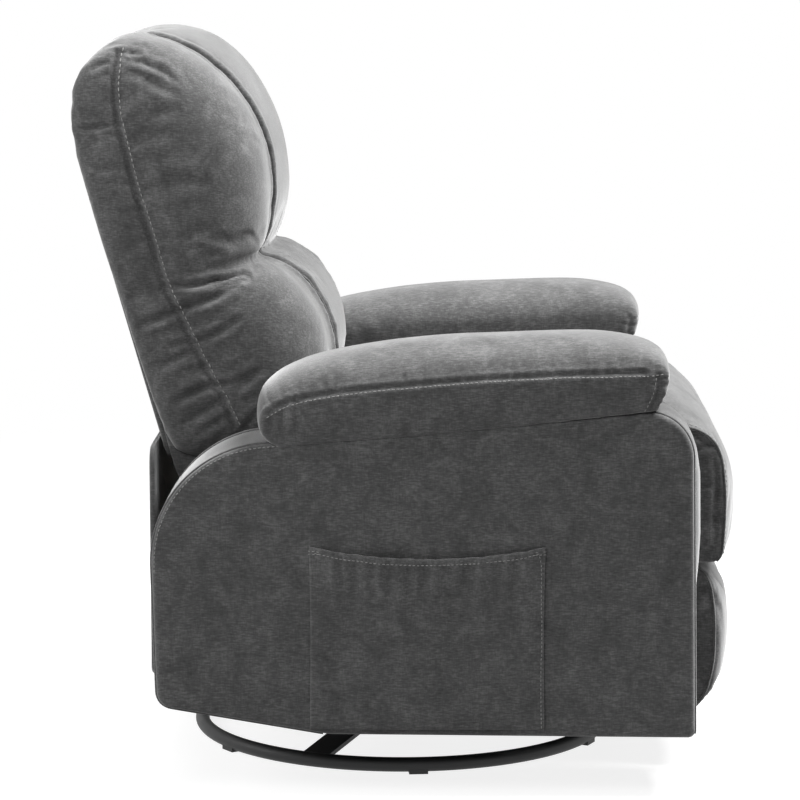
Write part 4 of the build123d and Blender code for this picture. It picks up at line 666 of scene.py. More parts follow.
# Lines against s: the half width, then w of the rear, the side swells, the seams, the middle
# swell and the lobes' rear
HALF_LINE = [(-58, 232), (-44, 246), (-10, 252), (60, 254), (130, 253), (165, 251), (186, 249), (207, 251),
             (240, 254), (330, 256), (430, 254), (480, 248), (505, 237), (516, 223), (523, 204)]
REAR_LINE = [(-58, 104), (-50, 84), (-40, 72), (-25, 67), (392, 67), (396, 4), (437, 9), (473, 22), (496, 41),
             (514, 72), (523, 94)]
SIDE_LINE = [(-58, 122), (-46, 165), (-30, 212), (4, 240), (45, 252), (82, 252), (115, 243), (150, 226),
             (172, 206), (186, 190), (199, 205), (215, 213), (251, 226), (294, 238), (325, 241), (362, 238),
             (403, 227), (448, 205), (489, 170), (512, 137), (523, 120)]
SEAM_LINE = [(-58, 116), (-46, 160), (-30, 212), (4, 248), (36, 262), (85, 262), (120, 254), (149, 238),
             (172, 212), (186, 186), (199, 199), (216, 212), (243, 226), (267, 235), (319, 245), (371, 240),
             (420, 223), (461, 197), (489, 168), (510, 138), (523, 112)]
MIDDLE_LINE = [(-58, 128), (-46, 178), (-30, 230), (4, 257), (50, 267), (100, 264), (140, 251), (172, 227),
               (186, 204), (200, 217), (216, 229), (264, 246), (320, 257), (377, 255), (440, 238), (488, 205),
               (514, 160), (523, 138)]
LOBE_LINE = [(-60, 66), (-56, 48), (-50, 34), (-34, 16), (-6, 9), (45, 6), (118, 4), (198, 2), (275, 1),
             (392, 2), (396, 4), (437, 9), (473, 22), (496, 41), (514, 72), (523, 94)]
# The stitched seam down each flank, as (w, s) from the top
FLANK_SEAM = [(95, 516), (88, 497), (78, 460), (71, 425), (70, 395), (67, 330), (68, 282), (68, 232),
              (67, 182), (74, 150), (83, 97), (91, 53), (98, 24), (105, -25)]
turn = (1 - np.cos(np.linspace(0, np.pi, 56))) / 2
levels = np.concatenate([BACK_LOW + (PINCH - BACK_LOW) * turn, PINCH + (BACK_HIGH - PINCH) * turn[1:]])
half, side, seam, middle = (smooth_line(line, step=3)
                            for line in (HALF_LINE, SIDE_LINE, SEAM_LINE, MIDDLE_LINE))
rear, lobe = np.array(REAR_LINE, float), np.array(LOBE_LINE, float)
back_cover = back_cushion("back_cushion_cover", levels, (half, rear, side, seam, middle, lobe))
FLANK_FROM, POST_FRONT, PANEL_TOP = 220, 72, 399   # x of the flank, w of the posts, s of the outer panel


def back_sewn(points):
    """The points held by the frame behind, the foot, the pinch and the seams."""
    x, w, s = back_place(points)
    flank = np.abs(x) > FLANK_FROM
    seam = (np.abs(np.abs(x) - SEAM_X) < 5) & (w > 100) & (s > -30)
    pinch = (np.abs(s - PINCH) < 4) & ((w > 140) | (np.abs(x) < 200))
    seam_line = np.interp(-s, [-p[1] for p in FLANK_SEAM], [p[0] for p in FLANK_SEAM])
    stitched = flank & (np.abs(w - seam_line) < 4)
    level = flank & (w < POST_FRONT) & (np.abs(s - 423 + 0.16 * w) < 4)
    rear = (w < POST_FRONT) & (s < PANEL_TOP) & (np.abs(x) < 238)
    return rear | seam | pinch | stitched | level | (s < -52) | ((w < 8) & (s < 440))


def back_reach(points):
    """The room between the arm rests, and a little more above them."""
    return np.interp(points[:, 2], [620, 700], [259.4, 268.0])


stuff(back_cover, back_sewn, cap=22, reach=back_reach, voxel=5.5, spare=0.012)

# %% [markdown]
# The deep seams between the panels, the line of stitching along the flank and
# the wrinkles that the pinch sends out were read off the photograph as lines in
# the plane of the flank, then laid on the skin.

# %% Seams and wrinkles of the back
# Each wrinkle: its line (w, s) in the plane of the flank, its depth and its half width
FLANK_WRINKLES = [([(60, 184), (90, 181), (118, 177), (143, 175), (170, 181), (203, 186)], 7.0, 4),
                  ([(120, 164), (140, 168), (165, 174), (196, 177)], 4.0, 4),
                  ([(40, 147), (69, 149), (97, 151), (125, 152), (146, 160), (176, 168)], 6.0, 5),
                  ([(12, 140), (34, 145), (58, 147)], 4.0, 5),
                  ([(40, 101), (66, 104), (90, 102), (120, 105), (160, 119)], 4.5, 5),
                  ([(30, 80), (58, 87), (86, 89), (110, 94)], 3.0, 6),
                  ([(50, 66), (76, 66), (102, 62)], 2.0, 7),
                  ([(25, 27), (52, 33), (84, 38), (122, 32), (160, 44)], 4.8, 5),
                  ([(36, -2), (64, 5), (92, 10), (112, 22)], 3.0, 6),
                  ([(52, -22), (80, -14), (112, -2)], 2.6, 5),
                  ([(112, 18), (136, 28), (165, 44)], 4.0, 5),
                  ([(100, -44), (124, -27), (146, -12)], 4.0, 5),
                  ([(100, 503), (116, 497), (134, 488), (150, 471), (168, 446)], 3.6, 5),
                  ([(92, 482), (114, 472), (137, 452), (162, 424)], 2.6, 7),
                  ([(100, 404), (126, 409), (160, 410)], 2.2, 8),
                  ([(74, 378), (104, 384), (140, 380)], 2.8, 8),
                  ([(71, 313), (105, 318), (144, 311), (170, 300)], 2.8, 9),
                  ([(50, 496), (66, 503), (84, 505)], 3.0, 4),
                  ([(99, 509), (120, 513), (142, 509)], 3.0, 4),
                  ([(84, 248), (120, 240), (165, 245)], 2.2, 9)]
FLANK_X = 260   # mm, beside the skin


def flank_path(side, line):
    """A smooth line (w, s) in the plane of a flank."""
    return smooth_line(on_back(side * FLANK_X, *np.array(line, float).T), step=4)


for side in (-1, 1):
    for line, depth, width in FLANK_WRINKLES:
        press(back_cover, lay_on(back_cover, flank_path(side, line)), depth, width, lip=0.4)
    press(back_cover, lay_on(back_cover, flank_path(side, FLANK_SEAM)), 3.5, 4, fade=False)
    pucker(back_cover, lay_on(back_cover, flank_path(side, FLANK_SEAM)), 1.6, 20, 17, seed=5)
    level = on_back(side * 258, np.linspace(4, 72, 12), np.linspace(422, 411, 12))
    press(back_cover, lay_on(back_cover, level), 3.5, 3, fade=False)
upright_paths = []
front = np.array([p for p in SEAM_LINE if -40 < p[0] < 515], float)
for side in (-1, 1):
    path = lay_on(back_cover, smooth_line(on_back(side * SEAM_X, front[:, 1], front[:, 0]), step=4))
    press(back_cover, path, 7, 4.5, lip=0.4, fade=False)
    upright_paths.append(lay_on(back_cover, path, -0.4))
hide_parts("head_cushion", "lumbar_cushion", "back_side_bands")
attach(back_cover, "back")
print("back creased:", 2 * len(FLANK_WRINKLES), "wrinkles")

# %% [markdown]
# ## Seat and footrest
#
# The seat is a thick cushion whose front falls over in a waterfall nose, and
# the footrest is a smaller pad below it. Both have the same outline from side
# to side, only fuller in the middle, so they are lofted across the chair from a
# side outline to a middle outline, with the crown between.

# %% Lofts across the chair
LOFT_STATIONS, TOP_POINTS, BASE_POINTS, RING_POINTS = 56, 110, 60, 220


def crowned_loft(name, half, side, middle, base, roundness=2.8, fullness=0.5, centre=0.0):
    """Lofts outlines (u, z) across x, from the side line to the fuller middle line, on a common base line."""
    side, middle = smooth_line(side, count=TOP_POINTS), smooth_line(middle, count=TOP_POINTS)
    base = spread(base, count=BASE_POINTS)
    rings = []
    for angle in np.linspace(-np.pi / 2, np.pi / 2, LOFT_STATIONS):
        t = math.sin(angle)
        crown = (1 - abs(t) ** roundness) ** fullness
        outline = np.vstack([side + (middle - side) * crown, base[1:-1]])
        outline = spread(np.vstack([outline, outline[:1]]), count=RING_POINTS + 1)[:-1]
        rings.append(np.column_stack([np.full(RING_POINTS, centre + half * t), outline]))
    return new_piece(name, *ring_skin(rings), suede)


def side_path(x, line):
    """A smooth line (u, z) in the upright plane x mm from the middle."""
    line = np.array(line, float)
    return smooth_line(np.column_stack([np.full(len(line), float(x)), line]), step=4)


print("loft helper ready")

# %% Seat cushion
SEAT_SIDE = [(-183, 414), (-60, 444), (100, 474), (240, 487), (343, 490), (381, 478), (409, 469), (431, 452),
             (440, 426), (443, 390), (443, 345), (442, 300)]
SEAT_MIDDLE = [(-183, 432), (-60, 480), (100, 514), (240, 529), (343, 533), (380, 530), (400, 517),
               (414, 498), (424, 477), (435, 453), (447, 430), (456, 410), (462, 386), (464, 360), (463, 325),
               (460, 297)]
SEAT_BASE = [(443, 300), (437, 289), (424, 286), (392, 288), (385, 300), (384.5, 353.2), (-183, 353.2),
             (-183, 414)]
SEAT_HALF, SEAT_REACH, SEAT_SEAM = 254, 258.5, 250   # mm
seat = crowned_loft("seat_cushion_cover", SEAT_HALF, SEAT_SIDE, SEAT_MIDDLE, SEAT_BASE, roundness=3.0,
                    fullness=0.9)


def seat_sewn(points):
    """The points held by the seat's frame, its rear, its foot and the side seams of the nose."""
    x, u, z = points.T
    nose = (np.abs(np.abs(x) - SEAT_SEAM) < 3) & (u > 330)
    return ((z < 357) & (u < 388)) | (u < -178) | (z < 292) | nose


stuff(seat, seat_sewn, cap=5, reach=lambda p: SEAT_REACH, voxel=6.0, spare=0.01)
# Each crease: its line (u, z), its depth and its half width
SEAT_CREASES = [([(392, 436), (408, 447), (424, 452)], 3.5, 5),
                ([(396, 462), (412, 458), (428, 446)], 3.0, 5),
                ([(425, 440), (431, 410), (431, 360), (430, 310)], 2.5, 4),
                ([(400, 400), (412, 395), (426, 398)], 2.5, 6)]
for side in (-1, 1):
    for line, depth, width in SEAT_CREASES:
        press(seat, lay_on(seat, side_path(side * 258, line)), depth, width)
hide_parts("seat_cushion")
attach(seat, "seat")

# %% Footrest pad
FOOT_SIDE = [(400, 281), (414, 276), (426, 255), (431, 220), (432, 164), (424, 112), (410, 84)]
FOOT_MIDDLE = [(400, 282), (426, 276), (446, 252), (454, 216), (455, 160), (442, 106), (412, 83.5)]
FOOT_BASE = [(410, 84), (396, 83.5), (395.6, 90), (395.6, 278), (400, 281)]
FOOT_HALF, FOOT_REACH = 250, 254.0   # mm
footpad = crowned_loft("footrest_pad_cover", FOOT_HALF, FOOT_SIDE, FOOT_MIDDLE, FOOT_BASE, roundness=3.2)


def foot_sewn(points):
    """The points held by the board behind and at the foot."""
    _, u, z = points.T
    return (u < 400) | (z < 88)


stuff(footpad, foot_sewn, cap=5, reach=lambda p: FOOT_REACH)
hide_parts("footrest_pad")
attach(footpad, "footrest")

# %% [markdown]
# ## Arm rests
#
# Each arm carries a stuffed pad with a boxed side about 70 mm high and a domed
# top. The right one is stuffed, and the left one is its mirror image.

# %% Arm pads
PAD_HALF, PAD_CENTRE = 76, 337.3
PAD_SIDE = [(-150, 468), (-171, 482), (-177, 501), (-168, 519), (-140, 532), (-75, 544), (4, 552), (108, 561),
            (213, 567), (291, 570), (323, 573), (346, 577), (354, 568), (353, 552), (347, 534), (338, 518)]
PAD_MIDDLE = [(-152, 464), (-178, 478), (-187, 505), (-182, 537), (-160, 560), (-131, 575), (-104, 584),
              (-64, 592), (2, 601), (69, 607), (135, 609), (202, 612), (268, 614), (321, 606), (348, 592),
              (358, 574), (357, 553), (350, 534), (341, 518)]
PAD_BASE = [(338, 518), (187, 500.5), (30, 484), (-100, 474), (-150, 468)]
PAD_OUTER, PAD_INNER = -PAD_CENTRE - PAD_HALF, -PAD_CENTRE + PAD_HALF
PAD_LIMITS = (-418, -260.5)   # x of the furthest points, the inner ones beside the seat
ARM_FRONT, ARM_TOP, ARM_FALL = 388, 522, 0.08647   # u and z of the box's upper front, its fall to the rear
pad = crowned_loft("arm_pad_cover_right", PAD_HALF, PAD_SIDE, PAD_MIDDLE, PAD_BASE, roundness=2.4,
                   centre=-PAD_CENTRE)


def pad_sewn(points):
    """The points held by the top of the arm's box."""
    _, u, z = points.T
    return z < ARM_TOP - ARM_FALL * (ARM_FRONT - u) + 6


stuff(pad, pad_sewn, cap=5, spare=0.0)
points = read_points(pad.data)
points[:, 0] = np.clip(points[:, 0], *PAD_LIMITS)
write_points(pad.data, points)

# %% Pad seam, tucks and the mirrored pad
PAD_SEAM = [(-169, 516), (-140, 531), (-75, 543), (4, 551), (108, 560), (213, 566), (291, 569), (323, 570),
            (345, 573)]
PAD_END = [(343, 571), (343, 560), (341, 548), (336, 532), (330, 519)]
PAD_TUCKS = [[(-146, 530), (-150, 514), (-147, 488)], [(-128, 537), (-134, 520), (-128, 492)],
             [(18, 500), (14, 488), (16, 480)], [(-160, 520), (-166, 505), (-162, 488)]]
soft_side = pad.vertex_groups.new(name="inner_side")
soft_side.add(np.flatnonzero(read_points(pad.data)[:, 0] > -PAD_CENTRE + 20).tolist(), 1.0, "REPLACE")
soften = pad.modifiers.new("soft_inner_side", "SMOOTH")
soften.factor, soften.iterations, soften.vertex_group = 0.5, 60, "inner_side"
bake(pad)
pad.vertex_groups.clear()
press(pad, lay_on(pad, side_path(PAD_OUTER, PAD_SEAM[:-1])), 3.0, 3, fade=False)
pucker(pad, lay_on(pad, side_path(PAD_OUTER, PAD_SEAM)), 2.0, 24, 15, seed=11, below=0.4)
for tuck in PAD_TUCKS:
    press(pad, lay_on(pad, side_path(PAD_OUTER, tuck)), 3.2, 6)
for x in (PAD_OUTER, PAD_INNER):
    press(pad, lay_on(pad, side_path(x, PAD_END)), 3.5, 3.5)
    pucker(pad, lay_on(pad, side_path(x, PAD_END)), 2.8, 17, 11, seed=7)


def mirrored(piece, name):
    """The same piece on the other side of the chair, turned the right way out."""
    mesh = piece.data.copy()
    mesh.name = name
    mesh.transform(Matrix.Diagonal((-1, 1, 1, 1)))
    mesh.flip_normals()
    return add_object(name, mesh)


left_pad = mirrored(pad, "arm_pad_cover_left")
for piece, node in ((pad, "arm_pad_right"), (left_pad, "arm_pad_left")):
    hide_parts(node)
    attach(piece, "chassis")
print("arm pads:", len(pad.data.polygons), "faces each")

# %% [markdown]
# ## Padded panels
#
# The arm sides, the skirt and the outer back are board under a thin wadding. Cloth
# rolls over the edge and swells a little towards the middle. A flat outline,
# filled with an even net of points, is lifted by how far each point is from the
# edge, which gives the roll and the swell in one go.

# %% Panel helper
def rounded_outline(corners, step):
    """A closed line with rounded corners (a, b, radius), with a point every step mm."""
    spots = np.array([corner[:2] for corner in corners], float)
    line = []
    for k, (_, _, radius) in enumerate(corners):
        before, after = spots[k - 1] - spots[k], spots[(k + 1) % len(spots)] - spots[k]
        before, after = before / np.linalg.norm(before), after / np.linalg.norm(after)
        half = math.acos(before @ after) / 2
        centre = spots[k] + (before + after) / np.linalg.norm(before + after) * radius / math.sin(half)
        start = spots[k] + before * radius / math.tan(half) - centre
        end = spots[k] + after * radius / math.tan(half) - centre
        first, last = math.atan2(start[1], start[0]), math.atan2(end[1], end[0])
        sweep = (last - first + math.pi) % math.tau - math.pi
        for t in np.linspace(0, 1, 24):
            angle = first + sweep * t
            line.append(centre + radius * np.array([math.cos(angle), math.sin(angle)]))
    return spread(np.vstack([line, line[:1]]), step)[:-1]


def edge_distance(points, outline):
    """How far points are from a closed outline."""
    ends = np.roll(outline, -1, axis=0) - outline
    share = ((points[:, None] - outline[None]) * ends).sum(2) / (ends ** 2).sum(1)
    foot = outline[None] + np.clip(share, 0, 1)[..., None] * ends[None]
    return np.linalg.norm(points[:, None] - foot, axis=2).min(1)


def within(points, outline):
    """Which points lie inside a closed outline."""
    a, b = outline, np.roll(outline, -1, axis=0)
    y = points[:, 1:2]
    crosses = (a[:, 1] > y) != (b[:, 1] > y)
    slope = (b[:, 0] - a[:, 0]) / np.where(b[:, 1] == a[:, 1], 1e-9, b[:, 1] - a[:, 1])
    return (crosses & (points[:, :1] < a[:, 0] + (y - a[:, 1]) * slope)).sum(1) % 2 == 1


def inward_of(outline):
    """The way into a closed outline from each of its points."""
    ahead = np.roll(outline, -1, axis=0) - np.roll(outline, 1, axis=0)
    inward = np.column_stack([-ahead[:, 1], ahead[:, 0]]) / np.linalg.norm(ahead, axis=1)[:, None]
    return inward if within(outline[:1] + inward[:1] * 2, outline)[0] else -inward


def padded_panel(name, outline, place, thick, roll, swell, net=8.0):
    """A panel over a flat outline; place(a, b, h) puts a point h mm proud of the panel's back."""
    low, high = outline.min(0), outline.max(0)
    a, b = np.meshgrid(np.arange(low[0], high[0], net), np.arange(low[1], high[1], net * 0.87))
    a[1::2] += net / 2
    grid = np.column_stack([a.ravel(), b.ravel()])
    grid = grid[within(grid, outline)]
    grid = grid[edge_distance(grid, outline) > roll * 1.5]
    inward, nets = inward_of(outline), [outline]
    for share in (0.1, 0.25, 0.5, 0.85, 1.2):
        ring = outline + inward * roll * share
        nets.append(ring[edge_distance(ring, outline) > roll * share * 0.97])
    flat = np.vstack(nets + [grid])
    count = len(outline)
    spots, _, faces, *_ = delaunay_2d_cdt([Vector(p) for p in flat], [], [list(range(count))], 1, 1e-6)
    spots = np.array([tuple(p) for p in spots])
    gap = edge_distance(spots, outline)
    near = np.clip(1 - gap / roll, 0, 1)
    height = thick - roll * (1 - np.sqrt(1 - near ** 2)) + swell * (1 - np.exp(-gap / 50))
    top = place(spots[:, 0], spots[:, 1], height)
    under = place(outline[:, 0], outline[:, 1], np.zeros(count))
    total = len(spots)
    walls = [(k, (k + 1) % count, total + (k + 1) % count, total + k) for k in range(count)]
    floor = tuple(range(total, total + count))
    return new_piece(name, np.vstack([top, under]), [*faces, *walls, floor], suede)


print("panel helper ready")

# %% Arm sides
ARM_CORNERS = ((395, 80, 8), (ARM_FRONT, ARM_TOP, 62), (-329, 460, 160), (-319, 121, 22), (-90, 83, 60))
ARM_OUTSIDE, ARM_INSIDE = 400.2, 269.8   # mm from the middle to the faces of the arm's box
SIDES = ((-1, "right"), (1, "left"))
arm_outline = rounded_outline(ARM_CORNERS, 5)


def slack(u, z):
    """Soft upright waves of the cloth over a wide panel, still at its edges."""
    calm = np.clip(edge_distance(np.column_stack([u, z]), arm_outline) / 60, 0, 1) ** 2
    return calm * (0.9 * np.sin(u / 31 + 0.9 * np.sin(z / 70)) + 0.5 * np.sin(u / 17 - z / 120 + 1.3))


arm_sides = {}
for side, hand in SIDES:
    outer = padded_panel(
        f"arm_side_cover_{hand}", arm_outline,
        lambda u, z, h: np.column_stack([side * (ARM_OUTSIDE + h + slack(u, z) * (h > 1)), u, z]), 10, 7, 2.6)
    inner = padded_panel(
        f"arm_inside_cover_{hand}", arm_outline,
        lambda u, z, h: np.column_stack([side * (ARM_INSIDE - h), u, z]), 9.2, 6, 0.3, net=14.0)
    for piece, node in ((outer, "arm_outer_panel"), (inner, "arm_inner_panel")):
        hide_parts(f"{node}_{hand}")
        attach(piece, "chassis")
    arm_sides[side] = outer
print("arm side:", len(outer.data.polygons), "faces")

# %% Arm borders
BAND_INNER, BAND_OUTER, BAND_THICK = 270.2, 399.8, 8   # mm
BAND_EDGE, BAND_SWELL, FRONT_BULGE = 0.07, 2.5, 9   # the share that rolls over, and mm


def arm_border(name, side):
    """The cloth band round an arm box: rolled at its edges, swollen between, fullest at the front."""
    across = np.concatenate([[0, 0.012, 0.035, 0.07], np.linspace(0.12, 0.88, 14), [0.93, 0.965, 0.988, 1]])
    edge = np.minimum(across, 1 - across) / BAND_EDGE
    roll = -4 * (1 - np.sqrt(1 - np.clip(1 - edge, 0, 1) ** 2))
    x = side * np.concatenate([BAND_INNER + across * (BAND_OUTER - BAND_INNER), [BAND_OUTER, BAND_INNER]])
    rings = []
    for (u, z), (nu, nz) in zip(arm_outline, -inward_of(arm_outline)):
        front = max(0.0, nu) * np.interp(z, [270, 310, 350, 430, 470], [0.15, 0.7, 1, 1, 0.4])
        lift = roll + (BAND_SWELL + FRONT_BULGE * front) * (1 - (2 * across - 1) ** 4)
        lift = np.concatenate([lift, [-BAND_THICK, -BAND_THICK]])
        rings.append(np.column_stack([x, u + nu * lift, z + nz * lift]))
    rings = np.array(rings)
    levels, n = rings.shape[:2]
    faces = [(i * n + j, i * n + (j + 1) % n, (i + 1) % levels * n + (j + 1) % n, (i + 1) % levels * n + j)
             for i in range(levels) for j in range(n)]
    return new_piece(name, rings.reshape(-1, 3), faces, suede)


for side, hand in SIDES:
    band = arm_border(f"arm_border_cover_{hand}", side)
    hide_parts(f"arm_border_{hand}")
    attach(band, "chassis")
print("arm borders", round(BAND_OUTER - BAND_INNER), "mm wide")

# %% Skirt, outer back and the cloth round the footrest board
SKIRT_U, OUTER_BACK_W, BOARD_U = -329.8, 10, 395.2   # where the back of each panel lies


def level_outline(half, low, high, foot_round, top_round):
    """A panel's outline with a level foot and top, even on both sides of the middle."""
    return rounded_outline(((-half, low, foot_round), (half, low, foot_round), (half, high, top_round),
                            (-half, high, top_round)), 6)


skirt = padded_panel("back_skirt_cover", level_outline(287.5, 136, 451.5, 8, 28),
                     lambda x, z, h: np.column_stack([x, SKIRT_U - h, z]), 7.6, 5, 2.5)
rear_panel = padded_panel("outer_back_cover", level_outline(226, -45.5, 397.5, 10, 10),
                          lambda x, s, h: on_back(x, OUTER_BACK_W - h, s), 9.6, 5, 3.0)
for piece, node, body in ((skirt, "back_skirt", "chassis"), (rear_panel, "back_outer_panel", "back")):
    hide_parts(node)
    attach(piece, body)
board_wrap = padded_panel("footrest_board_cloth", level_outline(245.4, 88.6, 265.4, 9, 9),
                          lambda x, z, h: np.column_stack([x, BOARD_U - h, z]), 16.6, 2, 0.2, net=12.0)
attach(board_wrap, "footrest")
print("skirt and outer back:", len(skirt.data.polygons), len(rear_panel.data.polygons), "faces")

# %% Gussets below the back
GUSSET_X = 231   # mm from the middle to their inner face
GUSSET_LINE = [(9, 10), (8, -38), (10, -75), (24, -106), (58, -110), (86, -92), (96, -50), (88, -20), (50, 0)]
gusset_outline = spread(np.vstack([smooth_line(GUSSET_LINE, step=3), GUSSET_LINE[:1]]), step=5)[:-1]
for side, hand in SIDES:
    gusset = padded_panel(f"back_gusset_{hand}", gusset_outline,
                          lambda w, s, h: on_back(side * (GUSSET_X + h), w, s), 6, 3, 1.0, net=9.0)
    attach(gusset, "back")
print("gussets:", len(gusset.data.polygons), "faces each")

# %% [markdown]
# ## Side pocket
#
# A pouch of the same cloth is sewn to the sitter's right arm. Its hem is turned
# in and stitched, and sags a little, and the cloth below hangs in soft upright
# gathers. It is one sheet, given its thickness by a Solidify modifier.

# %% Pocket
POCKET_REAR, POCKET_FRONT, POCKET_FOOT, POCKET_TOP, POCKET_SAG = -116, 195, 92, 338, 15   # mm
POCKET_FACE, GATHER_GAIN = 414.4, 1.7   # mm from the middle where it is sewn on, and how deep the gathers are
# Each gather: its place along the hem, its half width, its height and how far down it runs
GATHERS = ((-84, 7, 2.2, 0.9), (-66, 6, 2.8, 0.5), (-42, 8, 2.4, 1.0), (-22, 6, 3.0, 0.6), (2, 9, 2.6, 1.2),
           (26, 6, 2.4, 0.5), (52, 8, 2.4, 0.9), (78, 6, 2.0, 0.5), (112, 9, 2.6, 1.1), (146, 7, 2.2, 0.7),
           (168, 8, 2.4, 0.9))
across, upward = np.meshgrid(np.linspace(0, 1, 96), np.linspace(0, 1, 76))
drop = POCKET_SAG * 4 * across * (1 - across) * upward ** 2
u = POCKET_REAR + across * (POCKET_FRONT - POCKET_REAR) + 3 * np.sin(math.tau * upward * 0.5) * (0.5 - across)
z = POCKET_FOOT + upward * (POCKET_TOP - POCKET_FOOT) - drop
edge = np.clip(np.minimum(across, 1 - across) / 0.06, 0, 1) * np.clip(upward / 0.08, 0, 1)
edge = edge * edge * (3 - 2 * edge)
belly = 5.0 * (np.sin(np.pi * across) ** 0.7) * (0.35 + 0.65 * upward ** 1.5)
folds = 0
for spot, width, height, run in GATHERS:
    fan = 14 * (upward - 0.9) * (spot - 40) / 150
    crest = np.exp(-((u - spot - fan) / (width * (1.9 - upward))) ** 2)
    folds = folds + GATHER_GAIN * height * crest * np.exp(-((0.93 - upward) / (0.28 * run)) ** 2)
sag_lines = (1.2 * np.sin(u / 23 + 2 * upward) * np.sin(np.pi * upward)
             + 0.8 * np.sin(u / 11 - 3 * upward) * upward)
hem = 0.9 * np.exp(-((upward - 0.965) / 0.03) ** 2) - 1.1 * np.exp(-((upward - 0.93) / 0.008) ** 2)
proud = POCKET_FACE + edge * (belly + folds + sag_lines + hem)
sheet_points = np.stack([-proud, u, z], axis=-1).reshape(-1, 3)
rows, columns = across.shape
faces = [(i * columns + j, i * columns + j + 1, (i + 1) * columns + j + 1, (i + 1) * columns + j)
         for i in range(rows - 1) for j in range(columns - 1)]
pocket = new_piece("side_pocket_cloth", sheet_points, faces, suede)
if sum(face.normal.x for face in pocket.data.polygons) > 0:
    pocket.data.flip_normals()
wall = pocket.modifiers.new("cloth_thickness", "SOLIDIFY")
wall.thickness, wall.offset = 1.8 * MM, -1.0
bake(pocket)
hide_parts("side_pocket")
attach(pocket, "chassis")
print("pocket:", len(pocket.data.polygons), "faces")

# %% [markdown]
# ## Webbing and the release strap
#
# Straps are modelled directly, because they are flat woven bands. The elastic
# straps run level between the posts behind the cushions. The release strap
# comes up between the seat and the right arm, where a hand can reach it.

# %% Straps
STRAPS, STRAP_FIRST, STRAP_STEP = 5, 50, 62   # how many, s of the lowest and the step up
STRAP_HALF, STRAP_W, STRAP_THICK, STRAP_WIDE = 221.5, 65, 1.8, 49   # mm
PULL_LINE = [(-257, 156, 284), (-257, 156, 330), (-257.2, 156, 400), (-257.2, 155, 470), (-257, 154, 520),
             (-257, 153, 556)]
PULL_THICK, PULL_WIDE = 2.0, 25   # mm


def strap_band(name, line, across, thick, wide):
    """A flat band with rounded edges along a line of points; across is its width direction."""
    ahead = np.gradient(line, axis=0)
    ahead /= np.linalg.norm(ahead, axis=1)[:, None]
    turn = np.linspace(0, math.tau, 17)[:-1]
    profile = np.column_stack([np.sign(np.cos(turn)) * np.abs(np.cos(turn)) ** 0.3 * wide / 2,
                               np.sin(turn) * thick / 2])
    up = np.cross(ahead, across)
    up /= np.linalg.norm(up, axis=1)[:, None]
    rings = [spot + profile[:, :1] * across + profile[:, 1:] * rise for spot, rise in zip(line, up)]
    return new_piece(name, *ring_skin(rings), elastic)


up_the_back = np.array((0, -math.sin(LEAN), math.cos(LEAN)))
for k in range(STRAPS):
    line = on_back(np.linspace(-STRAP_HALF, STRAP_HALF, 41), STRAP_W, STRAP_FIRST + STRAP_STEP * k)
    strap = strap_band(f"webbing_strap_{k + 1}", line, up_the_back, STRAP_THICK, STRAP_WIDE)
    if not k:
        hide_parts("back_webbing")
    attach(strap, "back")
forward = np.array((0.0, 1.0, 0.0))
release = strap_band("release_strap_band", smooth_line(PULL_LINE, step=6), forward, PULL_THICK, PULL_WIDE)
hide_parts("release_strap")
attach(release, "release")
print("straps:", STRAPS + 1)

# %% [markdown]
# ## Stitches and cords
#
# A top-stitched seam is one short thread after another along a line. That is
# what Geometry Nodes do well: the tree spaces points along a path by the pitch,
# puts a small rounded stitch on each along the path, and gives it the thread
# finish. A second tree wraps a cord round a path, for welts and for wire. The
# result is turned to plain mesh, one for each body.

# %% Stitch and cord trees
WOBBLE, STITCH_SEED, CORD_STEP = 0.12, 3, 4   # how far a stitch may turn, and mm along a cord


def path_tree(name, sizes, shape, seed=None):
    """A tree over paths with named sizes in mm and a finish; shape() makes what runs along a curve."""
    tree = bpy.data.node_groups.new(name, "GeometryNodeTree")
    face = tree.interface
    face.new_socket("Geometry", in_out="INPUT", socket_type="NodeSocketGeometry")
    for label, size in sizes.items():
        face.new_socket(label, in_out="INPUT", socket_type="NodeSocketFloat").default_value = size * MM
    if seed is not None:
        face.new_socket("Seed", in_out="INPUT", socket_type="NodeSocketInt").default_value = seed
    face.new_socket("Finish", in_out="INPUT", socket_type="NodeSocketMaterial")
    face.new_socket("Geometry", in_out="OUTPUT", socket_type="NodeSocketGeometry")
    given = add_node(tree, "NodeGroupInput").outputs
    curve = add_node(tree, "GeometryNodeMeshToCurve", {"Mesh": given["Geometry"]}).outputs["Curve"]
    real = add_node(tree, "GeometryNodeRealizeInstances", {"Geometry": shape(tree, given, curve)})
    smooth = add_node(tree, "GeometryNodeSetShadeSmooth", {"Geometry": real.outputs["Geometry"]})
    done = add_node(tree, "GeometryNodeSetMaterial", {"Geometry": smooth.outputs["Geometry"],
                                                      "Material": given["Finish"]})
    add_node(tree, "NodeGroupOutput", {"Geometry": done.outputs["Geometry"]})
    return tree


